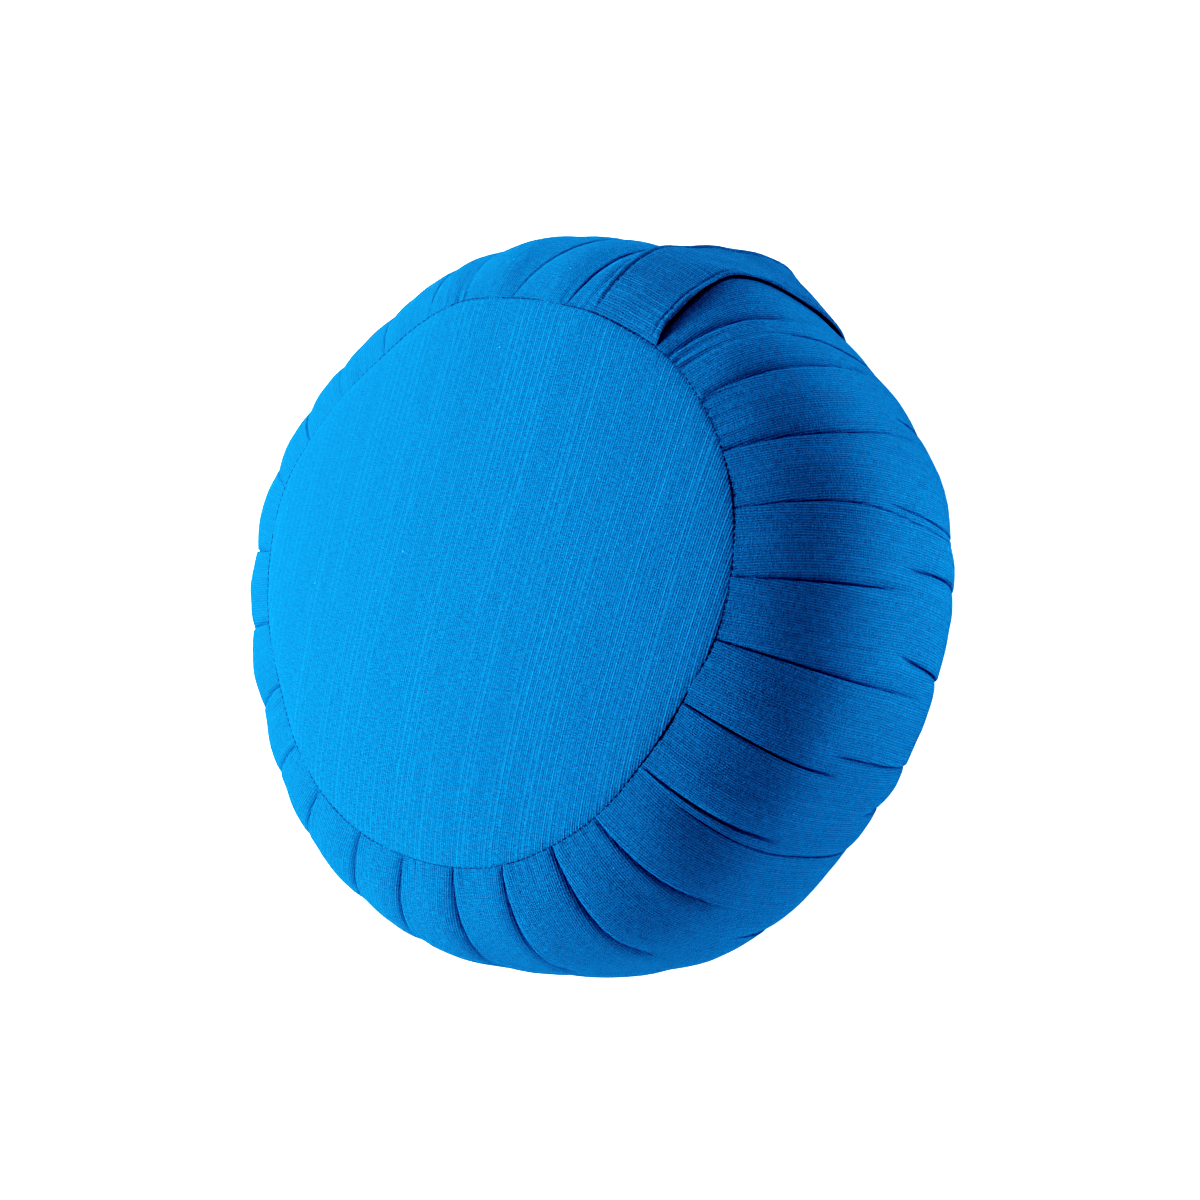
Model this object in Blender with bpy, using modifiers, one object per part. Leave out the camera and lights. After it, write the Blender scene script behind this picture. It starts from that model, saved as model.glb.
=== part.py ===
"""Zafu: a round meditation cushion with a pleated side and a strap handle.

The cushion lies on its lower panel. The origin is the middle of the flat that it rests on and +Z is up.
Lengths are in metres. Angles are in degrees round from the handle, which faces -Y, and they grow
anticlockwise seen from above. A "share" says how far across the side a point lies, along the cloth:
0 at the upper seam, 1 at the lower one.
"""

import math
from collections import namedtuple
from functools import lru_cache

import bmesh
import bpy
import numpy

MM = 0.001

# The form of the filled cushion
BELLY_RADIUS = 0.165
SEAM_RADIUS = 0.125
LOWER_SEAM_HEIGHT = 0.009
CROWN_HEIGHT = 0.014
CROWN_POWER = 2.4
RESTING_SHARE = 0.62
LOWER_CROWN_POWER = 2.0

# The side's section is part of a rounded curve, cut off at the seams
SECTION_HALF_HEIGHT = 0.088
SECTION_OUT_POWER = 0.485
SECTION_UP_POWER = 0.79
SECTION_SAMPLES = 400
OUTWARD_NUDGE = 0.01
SEAM_INFLUENCE = 0.4

# Cloth
PANEL_THICKNESS = 0.0016
PANEL_RIM_THICKNESS = 0.0010
GAP = 0.00035

# Pleats
PUFF = 0.0013
LAP_STEP = 0.0007
LAP_WIDTH = 0.008
CRISP_WIDTH = 0.0010
SOFT_WIDTH = 0.0027
CREASE_START = 0.07
CREASE_FADE = 0.22
PUFF_RISE = 0.13
PUFF_REACH = 0.62
FOLD_SHARES = (0.0, 0.3, 0.6)

# Handle
HANDLE_WIDTH = 0.041
HANDLE_THICKNESS = 0.0025
HANDLE_END_SHARE = 0.005
HANDLE_LENGTH_STEPS = 26
HANDLE_WIDTH_STEPS = 4
HUGGING_STANDOFF = 0.004
SMOOTH_UNDER_HANDLE = 9.9
ROUGH_BESIDE_HANDLE = 12.0

# Mesh: each crease has a column in it and one on either side, the nearer one on its crisp edge
COLUMNS_PER_CREASE = 3
CRISP_COLUMN = 0.75
SOFT_COLUMN = 1.9
COLUMNS_EVEN_FROM = 0.45
COLUMNS_EVEN_AT = 0.85
SIDE_ROWS = 20
CROWN_COLUMNS = 58
UPPER_RINGS = (0.18, 0.38, 0.58, 0.76, 0.90)
LOWER_RINGS = (0.31, 0.62, 0.75, 0.88)
WELD = 0.00001

# seam, third and far: the fold's angle at FOLD_SHARES of the side's width from its own seam.
# reach: the share of the width at which it has faded out. depth: in mm.
# lap: 1 where the cloth at smaller angles lies over the fold, -1 where the cloth at larger angles does.
# pull: how far the seam stands out from its mean circle there, in mm. belly: the same for the belly.
Fold = namedtuple("Fold", "seam third far reach depth lap pull belly")

UPPER_FOLDS = (
    Fold(-192.1, -195.3, -198.0, 0.42, 2.1, -1, 0.2, -0.2),
    Fold(-177.6, -181.0, -184.0, 0.44, 2.2, -1, 1.1, 0.8),
    Fold(-165.5, -169.8, -174.0, 0.46, 2.1, -1, 0.8, 1.2),
    Fold(-152.9, -156.3, -161.5, 0.52, 2.6, -1, 1.3, -0.8),
    Fold(-141.0, -144.5, -147.3, 0.52, 2.4, -1, 1.6, 0.0),
    Fold(-128.9, -130.4, -129.5, 0.48, 2.6, -1, 0.1, 1.0),
    Fold(-117.6, -116.0, -114.5, 0.42, 2.2, -1, -1.3, -0.3),
    Fold(-103.6, -103.0, -101.5, 0.46, 2.6, 1, -4.4, -3.6),
    Fold(-88.2, -89.9, -88.8, 0.50, 2.6, 1, -4.7, -2.0),
    Fold(-74.5, -75.1, -74.7, 0.68, 2.7, 1, -1.1, -1.0),
    Fold(-62.3, -61.2, -58.8, 0.50, 2.1, 1, 0.8, 1.1),
    Fold(-49.2, -48.5, -50.0, 0.88, 2.9, 1, 1.9, 3.0),
    Fold(-37.8, -37.7, -34.3, 0.68, 2.4, 1, 1.8, 2.3),
    Fold(-25.5, -25.1, -21.5, 0.64, 2.6, 1, 0.9, -0.9),
    Fold(-13.5, -13.6, -13.6, 0.42, 1.9, 1, -0.4, -2.6),
    Fold(0.0, 0.0, 0.0, 0.30, 0.8, 1, -3.1, -1.8),
    Fold(10.5, 9.6, 8.8, 0.22, 1.1, -1, -3.5, -2.5),
    Fold(16.0, 13.5, 14.5, 0.36, 1.8, -1, -3.9, -2.8),
    Fold(30.4, 22.5, 21.0, 0.48, 2.4, -1, -1.9, -0.4),
    Fold(42.4, 41.3, 40.5, 0.34, 1.8, -1, 1.6, 0.4),
    Fold(51.2, 49.0, 47.5, 0.40, 2.1, -1, 1.0, -0.3),
    Fold(64.2, 63.0, 62.0, 0.38, 1.9, -1, -1.7, -1.2),
    Fold(77.1, 76.0, 75.0, 0.36, 1.9, -1, -1.0, 0.6),
    Fold(89.0, 84.5, 81.0, 0.46, 3.0, -1, 1.2, 2.4),
    Fold(99.5, 96.5, 94.5, 0.40, 2.1, -1, 3.0, 3.1),
    Fold(113.1, 112.0, 111.0, 0.42, 2.2, -1, 1.0, 1.0),
    Fold(128.2, 125.5, 124.0, 0.44, 2.1, -1, -1.6, -0.8),
    Fold(142.3, 141.0, 140.0, 0.42, 2.1, -1, -3.6, -2.3),
    Fold(156.3, 151.8, 149.0, 0.46, 2.2, -1, -1.6, -0.9),
)

# Each lower fold rises between the upper fold of the same row and the next one.
LOWER_FOLDS = (
    Fold(-186.0, -187.5, -189.0, 0.44, 2.1, 1, -1.2, 0.0),
    Fold(-178.5, -177.0, -174.0, 0.50, 2.4, 1, -2.0, 0.0),
    Fold(-168.0, -166.5, -161.0, 0.42, 1.9, 1, -1.4, 0.0),
    Fold(-155.0, -153.5, -149.0, 0.48, 2.2, 1, 0.6, 0.0),
    Fold(-140.0, -138.5, -136.0, 0.46, 2.4, 1, 2.2, 0.0),
    Fold(-122.5, -122.0, -122.5, 0.44, 2.1, 1, 0.4, 0.0),
    Fold(-102.8, -102.4, -104.8, 0.92, 2.6, 1, -4.2, 0.0),
    Fold(-94.0, -94.6, -96.0, 0.36, 1.9, 1, -3.4, 0.0),
    Fold(-84.6, -85.4, -85.9, 0.68, 2.7, -1, -2.9, 0.0),
    Fold(-71.5, -70.1, -68.4, 0.54, 2.6, -1, -1.0, 0.0),
    Fold(-57.0, -55.6, -56.6, 0.58, 2.4, -1, 1.2, 0.0),
    Fold(-46.0, -48.4, -47.4, 0.66, 2.2, -1, 3.8, 0.0),
    Fold(-29.0, -29.8, -32.0, 0.46, 2.2, -1, 1.8, 0.0),
    Fold(-19.5, -18.6, -17.2, 0.76, 1.9, -1, -2.0, 0.0),
    Fold(-6.5, -6.5, -6.5, 0.30, 0.8, -1, -2.0, 0.0),
    Fold(5.0, 4.6, 4.8, 0.30, 0.8, 1, -2.2, 0.0),
    Fold(12.3, 11.8, 11.6, 0.36, 1.6, 1, -1.9, 0.0),
    Fold(18.6, 17.4, 17.9, 0.44, 2.1, 1, -1.2, 0.0),
    Fold(31.0, 31.5, 33.5, 0.46, 2.2, 1, 0.8, 0.0),
    Fold(44.5, 44.6, 45.6, 0.42, 2.1, 1, 2.3, 0.0),
    Fold(55.0, 55.5, 57.0, 0.48, 2.2, 1, 1.9, 0.0),
    Fold(69.0, 69.5, 70.0, 0.44, 2.1, 1, 0.1, 0.0),
    Fold(78.5, 79.0, 80.0, 0.42, 1.9, 1, -1.4, 0.0),
    Fold(87.0, 88.5, 91.5, 0.50, 2.4, 1, -2.0, 0.0),
    Fold(103.0, 103.5, 105.0, 0.44, 2.2, 1, -0.8, 0.0),
    Fold(117.0, 118.0, 119.5, 0.42, 2.1, 1, 0.9, 0.0),
    Fold(131.0, 132.5, 134.0, 0.46, 2.2, 1, 2.1, 0.0),
    Fold(144.0, 145.5, 147.5, 0.44, 2.1, 1, 1.6, 0.0),
    Fold(155.0, 156.5, 159.5, 0.46, 2.2, 1, 0.2, 0.0),
)

# How far the handle's two long edges stand off the side, in mm, at shares of its length.
# low is the edge at smaller angles and high the one at larger angles: the strap twists a little.
Standoff = namedtuple("Standoff", "share low high")

HANDLE_STANDOFF = (
    Standoff(0.00, 0.0, 0.0),
    Standoff(0.05, 2.2, 0.7),
    Standoff(0.12, 4.6, 1.0),
    Standoff(0.22, 7.2, 1.4),
    Standoff(0.30, 6.6, 2.4),
    Standoff(0.40, 5.3, 4.4),
    Standoff(0.50, 5.0, 6.2),
    Standoff(0.60, 5.0, 7.4),
    Standoff(0.72, 4.2, 7.6),
    Standoff(0.84, 2.8, 5.4),
    Standoff(0.94, 1.3, 2.4),
    Standoff(1.00, 0.0, 0.0),
)

# Colours are linear
PANEL_BLUE = (0.003, 0.240, 0.740, 1.0)
SIDE_BLUE = (0.003, 0.205, 0.660, 1.0)
HANDLE_BLUE = (0.004, 0.190, 0.610, 1.0)
CLOTH_ROUGHNESS = 0.85


def smooth_step(value, low, high):
    """Rises smoothly from 0 at low to 1 at high."""
    part = min(1.0, max(0.0, (value - low) / (high - low)))
    return part * part * (3.0 - 2.0 * part)


def section_curve():
    """The side's section: shares, radii and heights above the belly, from the upper seam down."""
    seam_turn = math.acos((SEAM_RADIUS / BELLY_RADIUS) ** (1.0 / SECTION_OUT_POWER))
    turns = numpy.linspace(seam_turn, -seam_turn, SECTION_SAMPLES)
    radii = BELLY_RADIUS * numpy.cos(turns) ** SECTION_OUT_POWER
    heights = SECTION_HALF_HEIGHT * numpy.sign(turns) * numpy.abs(numpy.sin(turns)) ** SECTION_UP_POWER
    steps = numpy.hypot(numpy.diff(radii), numpy.diff(heights))
    shares = numpy.concatenate(([0.0], numpy.cumsum(steps)))
    return shares / shares[-1], radii, heights


SECTION_SHARES, SECTION_RADII, SECTION_HEIGHTS = section_curve()
SEAM_TO_BELLY = SECTION_HEIGHTS[0]
BELLY_HEIGHT = LOWER_SEAM_HEIGHT + SEAM_TO_BELLY
UPPER_SEAM_HEIGHT = BELLY_HEIGHT + SEAM_TO_BELLY


def on_section(share):
    """Radius and height of the plain side at a share."""
    radius = numpy.interp(share, SECTION_SHARES, SECTION_RADII)
    height = numpy.interp(share, SECTION_SHARES, SECTION_HEIGHTS)
    return radius, BELLY_HEIGHT + height


def outward(share):
    """The plain side's outward direction at a share, as its radial and upward parts."""
    radius_before, height_before = on_section(max(0.0, share - OUTWARD_NUDGE))
    radius_after, height_after = on_section(min(1.0, share + OUTWARD_NUDGE))
    along_out, along_up = radius_after - radius_before, height_after - height_before
    length = math.hypot(along_out, along_up)
    return -along_up / length, along_out / length


def placed(angle, radius, height):
    """A point at an angle round from the handle."""
    turn = math.radians(angle)
    return radius * math.sin(turn), -radius * math.cos(turn), height


def angle_of(point):
    """The angle round from the handle of a point."""
    return math.degrees(math.atan2(point.x, -point.y))


def around(folds, column, angle):
    """A column of a fold table, read between its folds at an angle."""
    angles = [fold.seam for fold in folds]
    return numpy.interp(angle, angles, [getattr(fold, column) for fold in folds], period=360.0)


def seam_radius(folds, angle):
    """Radius of a seam, which the cloth's bias pulls out and in four times round."""
    return SEAM_RADIUS + around(folds, "pull", angle) * MM


@lru_cache(maxsize=None)
def fold_angle(fold, from_seam):
    """A fold's angle at a share of the side's width from its own seam."""
    return numpy.interp(from_seam, FOLD_SHARES, (fold.seam, fold.third, fold.far))


def degrees_between(angle, other):
    """The turn from other to angle, from -180 to 180."""
    return (angle - other + 180.0) % 360.0 - 180.0


def crease_depth(fold, from_seam):
    """Depth of a fold at a share of the side's width from its own seam."""
    opening = smooth_step(from_seam, 0.0, CREASE_START)
    closing = 1.0 - smooth_step(from_seam, fold.reach - CREASE_FADE, fold.reach)
    return fold.depth * MM * opening * closing


def crease_relief(folds, angle, from_seam, radius):
    """What the creases of one seam add to the side, outward: a groove, crisp on its lapping edge."""
    relief = 0.0
    for fold in folds:
        depth = crease_depth(fold, from_seam)
        distance = math.radians(degrees_between(angle, fold_angle(fold, from_seam))) * radius
        on_lapping_edge = distance * fold.lap < 0.0
        width = CRISP_WIDTH if on_lapping_edge else SOFT_WIDTH
        relief -= depth * math.exp(-abs(distance) / width)
        if on_lapping_edge:
            raised = LAP_STEP * depth / (fold.depth * MM)
            relief += raised * (1.0 - math.exp(-abs(distance) / width)) * math.exp(-abs(distance) / LAP_WIDTH)
    return relief


def puff_relief(folds, angle, from_seam):
    """How far the filling pushes the cloth out between two folds of one seam."""
    strength = smooth_step(from_seam, 0.0, PUFF_RISE) * (1.0 - smooth_step(from_seam, PUFF_RISE, PUFF_REACH))
    if strength == 0.0:
        return 0.0
    turns = [degrees_between(angle, fold_angle(fold, from_seam)) for fold in folds]
    past = min(turn for turn in turns if turn >= 0.0)
    ahead = -max(turn for turn in turns if turn < 0.0)
    share = past / (past + ahead)
    return PUFF * strength * (1.0 - (2.0 * share - 1.0) ** 2)


def beside_handle(angle):
    """0 where the handle presses the side smooth, 1 away from it."""
    return smooth_step(abs(degrees_between(angle, 0.0)), SMOOTH_UNDER_HANDLE, ROUGH_BESIDE_HANDLE)


def plain_side(angle, share):
    """Radius and height of the side before it is pleated."""
    radius, height = on_section(share)
    near_upper = 1.0 - smooth_step(share, 0.0, SEAM_INFLUENCE)
    near_lower = 1.0 - smooth_step(1.0 - share, 0.0, SEAM_INFLUENCE)
    radius += (seam_radius(UPPER_FOLDS, angle) - SEAM_RADIUS) * near_upper
    radius += (seam_radius(LOWER_FOLDS, angle) - SEAM_RADIUS) * near_lower
    radius += around(UPPER_FOLDS, "belly", angle) * MM * (1.0 - near_upper - near_lower)
    return radius, height


def side_point(angle, share):
    """A point of the pleated side."""
    radius, height = plain_side(angle, share)
    relief = crease_relief(UPPER_FOLDS, angle, share, radius)
    relief += crease_relief(LOWER_FOLDS, angle, 1.0 - share, radius)
    relief += puff_relief(UPPER_FOLDS, angle, share)
    relief += puff_relief(LOWER_FOLDS, angle, 1.0 - share)
    relief *= beside_handle(angle)
    out, up = outward(share)
    return placed(angle, radius + out * relief, height + up * relief)


def column_angles(share):
    """The angles of the side mesh's columns at a share, in order, ending a full turn after the first."""
    creases = []
    for upper, lower in zip(UPPER_FOLDS, LOWER_FOLDS):
        creases.append((fold_angle(upper, share), upper.lap, share))
        creases.append((fold_angle(lower, 1.0 - share), lower.lap, 1.0 - share))
    middles = [angle for angle, lap, from_seam in creases]
    before = [middles[-1] - 360.0] + middles[:-1]
    after = middles[1:] + [middles[0] + 360.0]
    angles = []
    for (angle, lap, from_seam), previous, following in zip(creases, before, after):
        spread = smooth_step(from_seam, COLUMNS_EVEN_FROM, COLUMNS_EVEN_AT)
        beside = []
        for side, room in ((-1, angle - previous), (1, following - angle)):
            even = room / COLUMNS_PER_CREASE
            close = CRISP_COLUMN if side * lap < 0 else SOFT_COLUMN
            beside.append(angle + side * min(even, close + (even - close) * spread))
        angles.extend((beside[0], angle, beside[1]))
    return angles + [angles[0] + 360.0]


def upper_crown(share_out):
    """Height of the filling's upper crown at a share of the seam's radius."""
    return UPPER_SEAM_HEIGHT + CROWN_HEIGHT * (1.0 - share_out ** CROWN_POWER)


def lower_crown(share_out):
    """Height of the filling's lower crown at a share of the seam's radius, level where it rests."""
    level = PANEL_THICKNESS + GAP
    risen = max(0.0, share_out - RESTING_SHARE) / (1.0 - RESTING_SHARE)
    return level + (LOWER_SEAM_HEIGHT - level) * risen ** LOWER_CROWN_POWER


def spun(mesh, profile, folds):
    """Turns a profile of radius shares and heights about the axis, out to the uneven seam."""
    corners = [mesh.verts.new((0.0, -share_out * SEAM_RADIUS, height)) for share_out, height in profile]
    edges = [mesh.edges.new(pair) for pair in zip(corners, corners[1:])]
    known = set(mesh.verts) - set(corners)
    bmesh.ops.spin(
        mesh, geom=corners + edges, cent=(0.0, 0.0, 0.0), axis=(0.0, 0.0, 1.0), dvec=(0.0, 0.0, 0.0),
        angle=math.tau, steps=CROWN_COLUMNS, use_merge=True, use_duplicate=False,
    )
    turned = [corner for corner in mesh.verts if corner not in known]
    for corner in turned:
        stretch = seam_radius(folds, angle_of(corner.co)) / SEAM_RADIUS
        corner.co.x *= stretch
        corner.co.y *= stretch
    bmesh.ops.remove_doubles(mesh, verts=turned, dist=WELD)


def finished(mesh, name, colour, collection):
    """Makes a node of a closed mesh, with its faces out and a material of its own."""
    bmesh.ops.recalc_face_normals(mesh, faces=mesh.faces)
    data = bpy.data.meshes.new(name)
    mesh.to_mesh(data)
    mesh.free()
    data.shade_smooth()
    cloth = bpy.data.materials.new(name + "_cloth")
    cloth.use_nodes = True
    surface = cloth.node_tree.nodes["Principled BSDF"]
    surface.inputs["Base Color"].default_value = colour
    surface.inputs["Roughness"].default_value = CLOTH_ROUGHNESS
    surface.inputs["Metallic"].default_value = 0.0
    data.materials.append(cloth)
    node = bpy.data.objects.new(name, data)
    collection.objects.link(node)
    return node


def add_panel(name, crown, rings, folds, side, collection):
    """Adds a round panel: a sheet that follows the crown, on its upper side (1) or under it (-1)."""
    shares = (0.0,) + rings + (1.0,)
    thicknesses = [PANEL_THICKNESS] * (len(shares) - 1) + [PANEL_RIM_THICKNESS]
    inner = [(share, crown(share) + side * GAP) for share in shares]
    outer = [(share, height + side * thick) for (share, height), thick in zip(inner, thicknesses)]
    mesh = bmesh.new()
    spun(mesh, outer + inner[::-1], folds)
    return finished(mesh, name, PANEL_BLUE, collection)


def add_side(collection):
    """Adds the filled cushion: the pleated side, closed by the crowns that the panels lie on."""
    mesh = bmesh.new()
    columns = len(column_angles(0.0)) - 1
    strip = bmesh.ops.create_grid(mesh, x_segments=columns, y_segments=SIDE_ROWS, size=0.5)
    angles_by_row = {}
    for corner in strip["verts"]:
        column = round((corner.co.x + 0.5) * columns)
        row = round((0.5 - corner.co.y) * SIDE_ROWS)
        share = 0.5 - 0.5 * math.cos(math.pi * row / SIDE_ROWS)
        if row not in angles_by_row:
            angles_by_row[row] = column_angles(share)
        corner.co = side_point(angles_by_row[row][column], share)
    bmesh.ops.remove_doubles(mesh, verts=mesh.verts, dist=WELD)
    spun(mesh, [(share, upper_crown(share)) for share in (0.0,) + UPPER_RINGS], UPPER_FOLDS)
    spun(mesh, [(share, lower_crown(share)) for share in (0.0,) + LOWER_RINGS], LOWER_FOLDS)
    open_edges = [edge for edge in mesh.edges if edge.is_boundary]
    upper_edges = [edge for edge in open_edges if edge.verts[0].co.z > BELLY_HEIGHT]
    lower_edges = [edge for edge in open_edges if edge.verts[0].co.z < BELLY_HEIGHT]
    for loops in (upper_edges, lower_edges):
        bmesh.ops.bridge_loops(mesh, edges=loops)
    return finished(mesh, "pleated_side", SIDE_BLUE, collection)


def handle_point(across, share):
    """A point of the handle's inner face, across its width from -0.5 to 0.5."""
    shares = [row.share for row in HANDLE_STANDOFF]
    low = numpy.interp(share, shares, [row.low for row in HANDLE_STANDOFF])
    high = numpy.interp(share, shares, [row.high for row in HANDLE_STANDOFF])
    standoff = GAP + (low + (high - low) * (across + 0.5)) * MM
    sideways = across * HANDLE_WIDTH
    middle_radius, height = plain_side(0.0, share)
    angle = math.degrees(math.asin(sideways / middle_radius))
    radius, height = plain_side(angle, share)
    out, up = outward(share)
    hugging = placed(angle, radius + out * standoff, height + up * standoff)
    flat = (sideways, -(middle_radius + out * standoff), height + up * standoff)
    lifted = smooth_step(standoff, 0.0, HUGGING_STANDOFF)
    return [near + (far - near) * lifted for near, far in zip(hugging, flat)]


def add_handle(collection):
    """Adds the strap, whose two ends meet the seams."""
    mesh = bmesh.new()
    strip = bmesh.ops.create_grid(
        mesh, x_segments=HANDLE_WIDTH_STEPS, y_segments=HANDLE_LENGTH_STEPS, size=0.5
    )
    for corner in strip["verts"]:
        along = 0.5 - corner.co.y
        share = HANDLE_END_SHARE + (1.0 - 2.0 * HANDLE_END_SHARE) * along
        corner.co = handle_point(corner.co.x, share)
    handle = finished(mesh, "carry_handle", HANDLE_BLUE, collection)
    doubled = handle.modifiers.new("doubled_cloth", "SOLIDIFY")
    doubled.thickness = HANDLE_THICKNESS
    doubled.offset = 1.0
    doubled.use_even_offset = True
    return handle


def main():
    """Builds the cushion."""
    for old in list(bpy.data.objects):
        bpy.data.objects.remove(old, do_unlink=True)
    collection = bpy.data.collections.new("zafu_cushion")
    bpy.context.scene.collection.children.link(collection)
    add_panel("top_panel", upper_crown, UPPER_RINGS, UPPER_FOLDS, 1, collection)
    add_panel("bottom_panel", lower_crown, LOWER_RINGS, LOWER_FOLDS, -1, collection)
    add_side(collection)
    add_handle(collection)


main()
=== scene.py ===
"""The looks of a zafu: a round, filled meditation cushion of blue slub cotton with a strap handle.

The cushion lies on its lower panel. The origin is the middle of the flat that it rests on and +Z is up.
Lengths are in metres unless a name or a docstring says millimetres. Angles are in degrees round from the
strap, which faces -Y, and grow anticlockwise seen from above. A share says how far across the side a point
lies, along the cloth: 0 at the upper seam, 1 at the lower one.
"""

import logging
import math
from dataclasses import dataclass, field
from enum import Enum
from functools import cached_property

import bmesh
import bpy
import numpy as np
from mathutils import Matrix, Vector


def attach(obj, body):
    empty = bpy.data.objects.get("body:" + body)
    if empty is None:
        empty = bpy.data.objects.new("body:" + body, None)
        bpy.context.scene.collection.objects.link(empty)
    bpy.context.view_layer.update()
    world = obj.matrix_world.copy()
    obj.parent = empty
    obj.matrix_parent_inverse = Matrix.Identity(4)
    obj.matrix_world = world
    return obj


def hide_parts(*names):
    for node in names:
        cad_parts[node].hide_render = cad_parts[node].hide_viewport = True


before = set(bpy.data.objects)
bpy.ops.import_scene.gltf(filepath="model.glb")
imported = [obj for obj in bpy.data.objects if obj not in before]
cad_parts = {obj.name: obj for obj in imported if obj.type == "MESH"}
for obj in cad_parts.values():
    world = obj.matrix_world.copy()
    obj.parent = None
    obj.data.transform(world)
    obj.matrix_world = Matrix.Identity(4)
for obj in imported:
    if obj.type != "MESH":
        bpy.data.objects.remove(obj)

log = logging.getLogger("zafu")

MM = 0.001
FULL_TURN = 360.0
ROOT = "root"
CLOTH_MAP = "cloth"
WELD = 0.00001

Array = np.ndarray
Colour = tuple[float, float, float]
Point = tuple[float, float, float]
Numbers = tuple[float, ...]
Socket = bpy.types.NodeSocket


# ---------------------------------------------------------------------------------------------------------
# Facts of the cushion, as in the part's own source but for the depths of some folds


class Seam(Enum):
    """The two seams that hold the side, and so the two round panels."""

    UPPER = "upper"
    LOWER = "lower"


@dataclass(frozen=True)
class Fold:
    """One pleat's fold.

    seam, third and far are its angles at 0, 0.3 and 0.6 of the side's width from its own seam. reach is the
    share of the width at which it has faded out. depth is in millimetres. lap is 1 where the cloth at
    smaller angles lies over the fold and -1 where the cloth at larger angles does. pull and belly are how
    far the seam and the belly stand out from their mean circles there, in millimetres. opening is the part
    of its depth that it already has just past the seam.
    """

    seam: float
    third: float
    far: float
    reach: float
    depth: float
    lap: int
    pull: float
    belly: float = 0.0
    opening: float = 0.85


@dataclass(frozen=True)
class Standoff:
    """How far the strap's two long edges stand off the side, in millimetres, at a share of its length.

    shift is how far the limp strap lies towards larger angles there, also in millimetres.
    """

    share: float
    low: float
    high: float
    shift: float


UPPER_FOLDS = tuple(Fold(*row) for row in (
    (-192.1, -195.3, -198, 0.42, 2.7, -1, 0.2, -0.2),
    (-177.6, -181, -184, 0.44, 2.9, -1, 1.1, 0.8),
    (-165.5, -169.8, -174, 0.46, 2.8, -1, 0.8, 1.2),
    (-152.9, -156.3, -161.5, 0.52, 3.1, -1, 1.3, -0.8),
    (-141, -144.5, -147.3, 0.52, 3, -1, 1.6, 0),
    (-128.9, -130.4, -129.5, 0.48, 3, -1, 0.1, 1),
    (-117.6, -116, -114.5, 0.42, 2.2, -1, -1.3, -0.3),
    (-103.6, -103, -101.5, 0.46, 2.3, 1, -4.4, -3.6, 0.4),
    (-88.2, -89.9, -88.8, 0.5, 2.2, 1, -4.7, -2, 0.5),
    (-74.5, -75.1, -74.7, 0.68, 2.3, 1, -1.1, -1, 0.5),
    (-62.3, -61.2, -58.8, 0.5, 2, 1, 0.8, 1.1, 0.5),
    (-49.2, -48.5, -50, 0.88, 2.9, 1, 1.9, 3, 0.5),
    (-37.8, -37.7, -34.3, 0.68, 2.2, 1, 1.8, 2.3, 0.5),
    (-25.5, -25.1, -21.5, 0.64, 2.2, 1, 0.9, -0.9, 0.5),
    (-13.5, -13.6, -13.6, 0.42, 1.9, 1, -0.4, -2.6),
    (0, 0, 0, 0.3, 0.8, 1, -3.1, -1.8),
    (10.5, 9.6, 8.8, 0.22, 1.1, -1, -3.5, -2.5),
    (16, 13.5, 14.5, 0.4, 2.3, -1, -3.9, -2.8, 0.2),
    (30.4, 22.5, 21, 0.48, 0.7, -1, -1.9, -0.4, 0.3),
    (42.4, 41.3, 40.5, 0.34, 0.15, -1, 1.6, 0.4),
    (51.2, 49, 47.5, 0.4, 0.4, -1, 1, -0.3),
    (64.2, 63, 62, 0.38, 0.4, -1, -1.7, -1.2),
    (77.1, 76, 75, 0.36, 0.4, -1, -1, 0.6),
    (89, 84.5, 81, 0.46, 0.7, -1, 1.2, 2.4),
    (99.5, 96.5, 94.5, 0.4, 0.5, -1, 3, 3.1),
    (113.1, 112, 111, 0.42, 0.9, -1, 1, 1),
    (128.2, 125.5, 124, 0.44, 2.5, -1, -1.6, -0.8),
    (142.3, 141, 140, 0.42, 2.7, -1, -3.6, -2.3),
    (156.3, 151.8, 149, 0.46, 2.8, -1, -1.6, -0.9),
))

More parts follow.
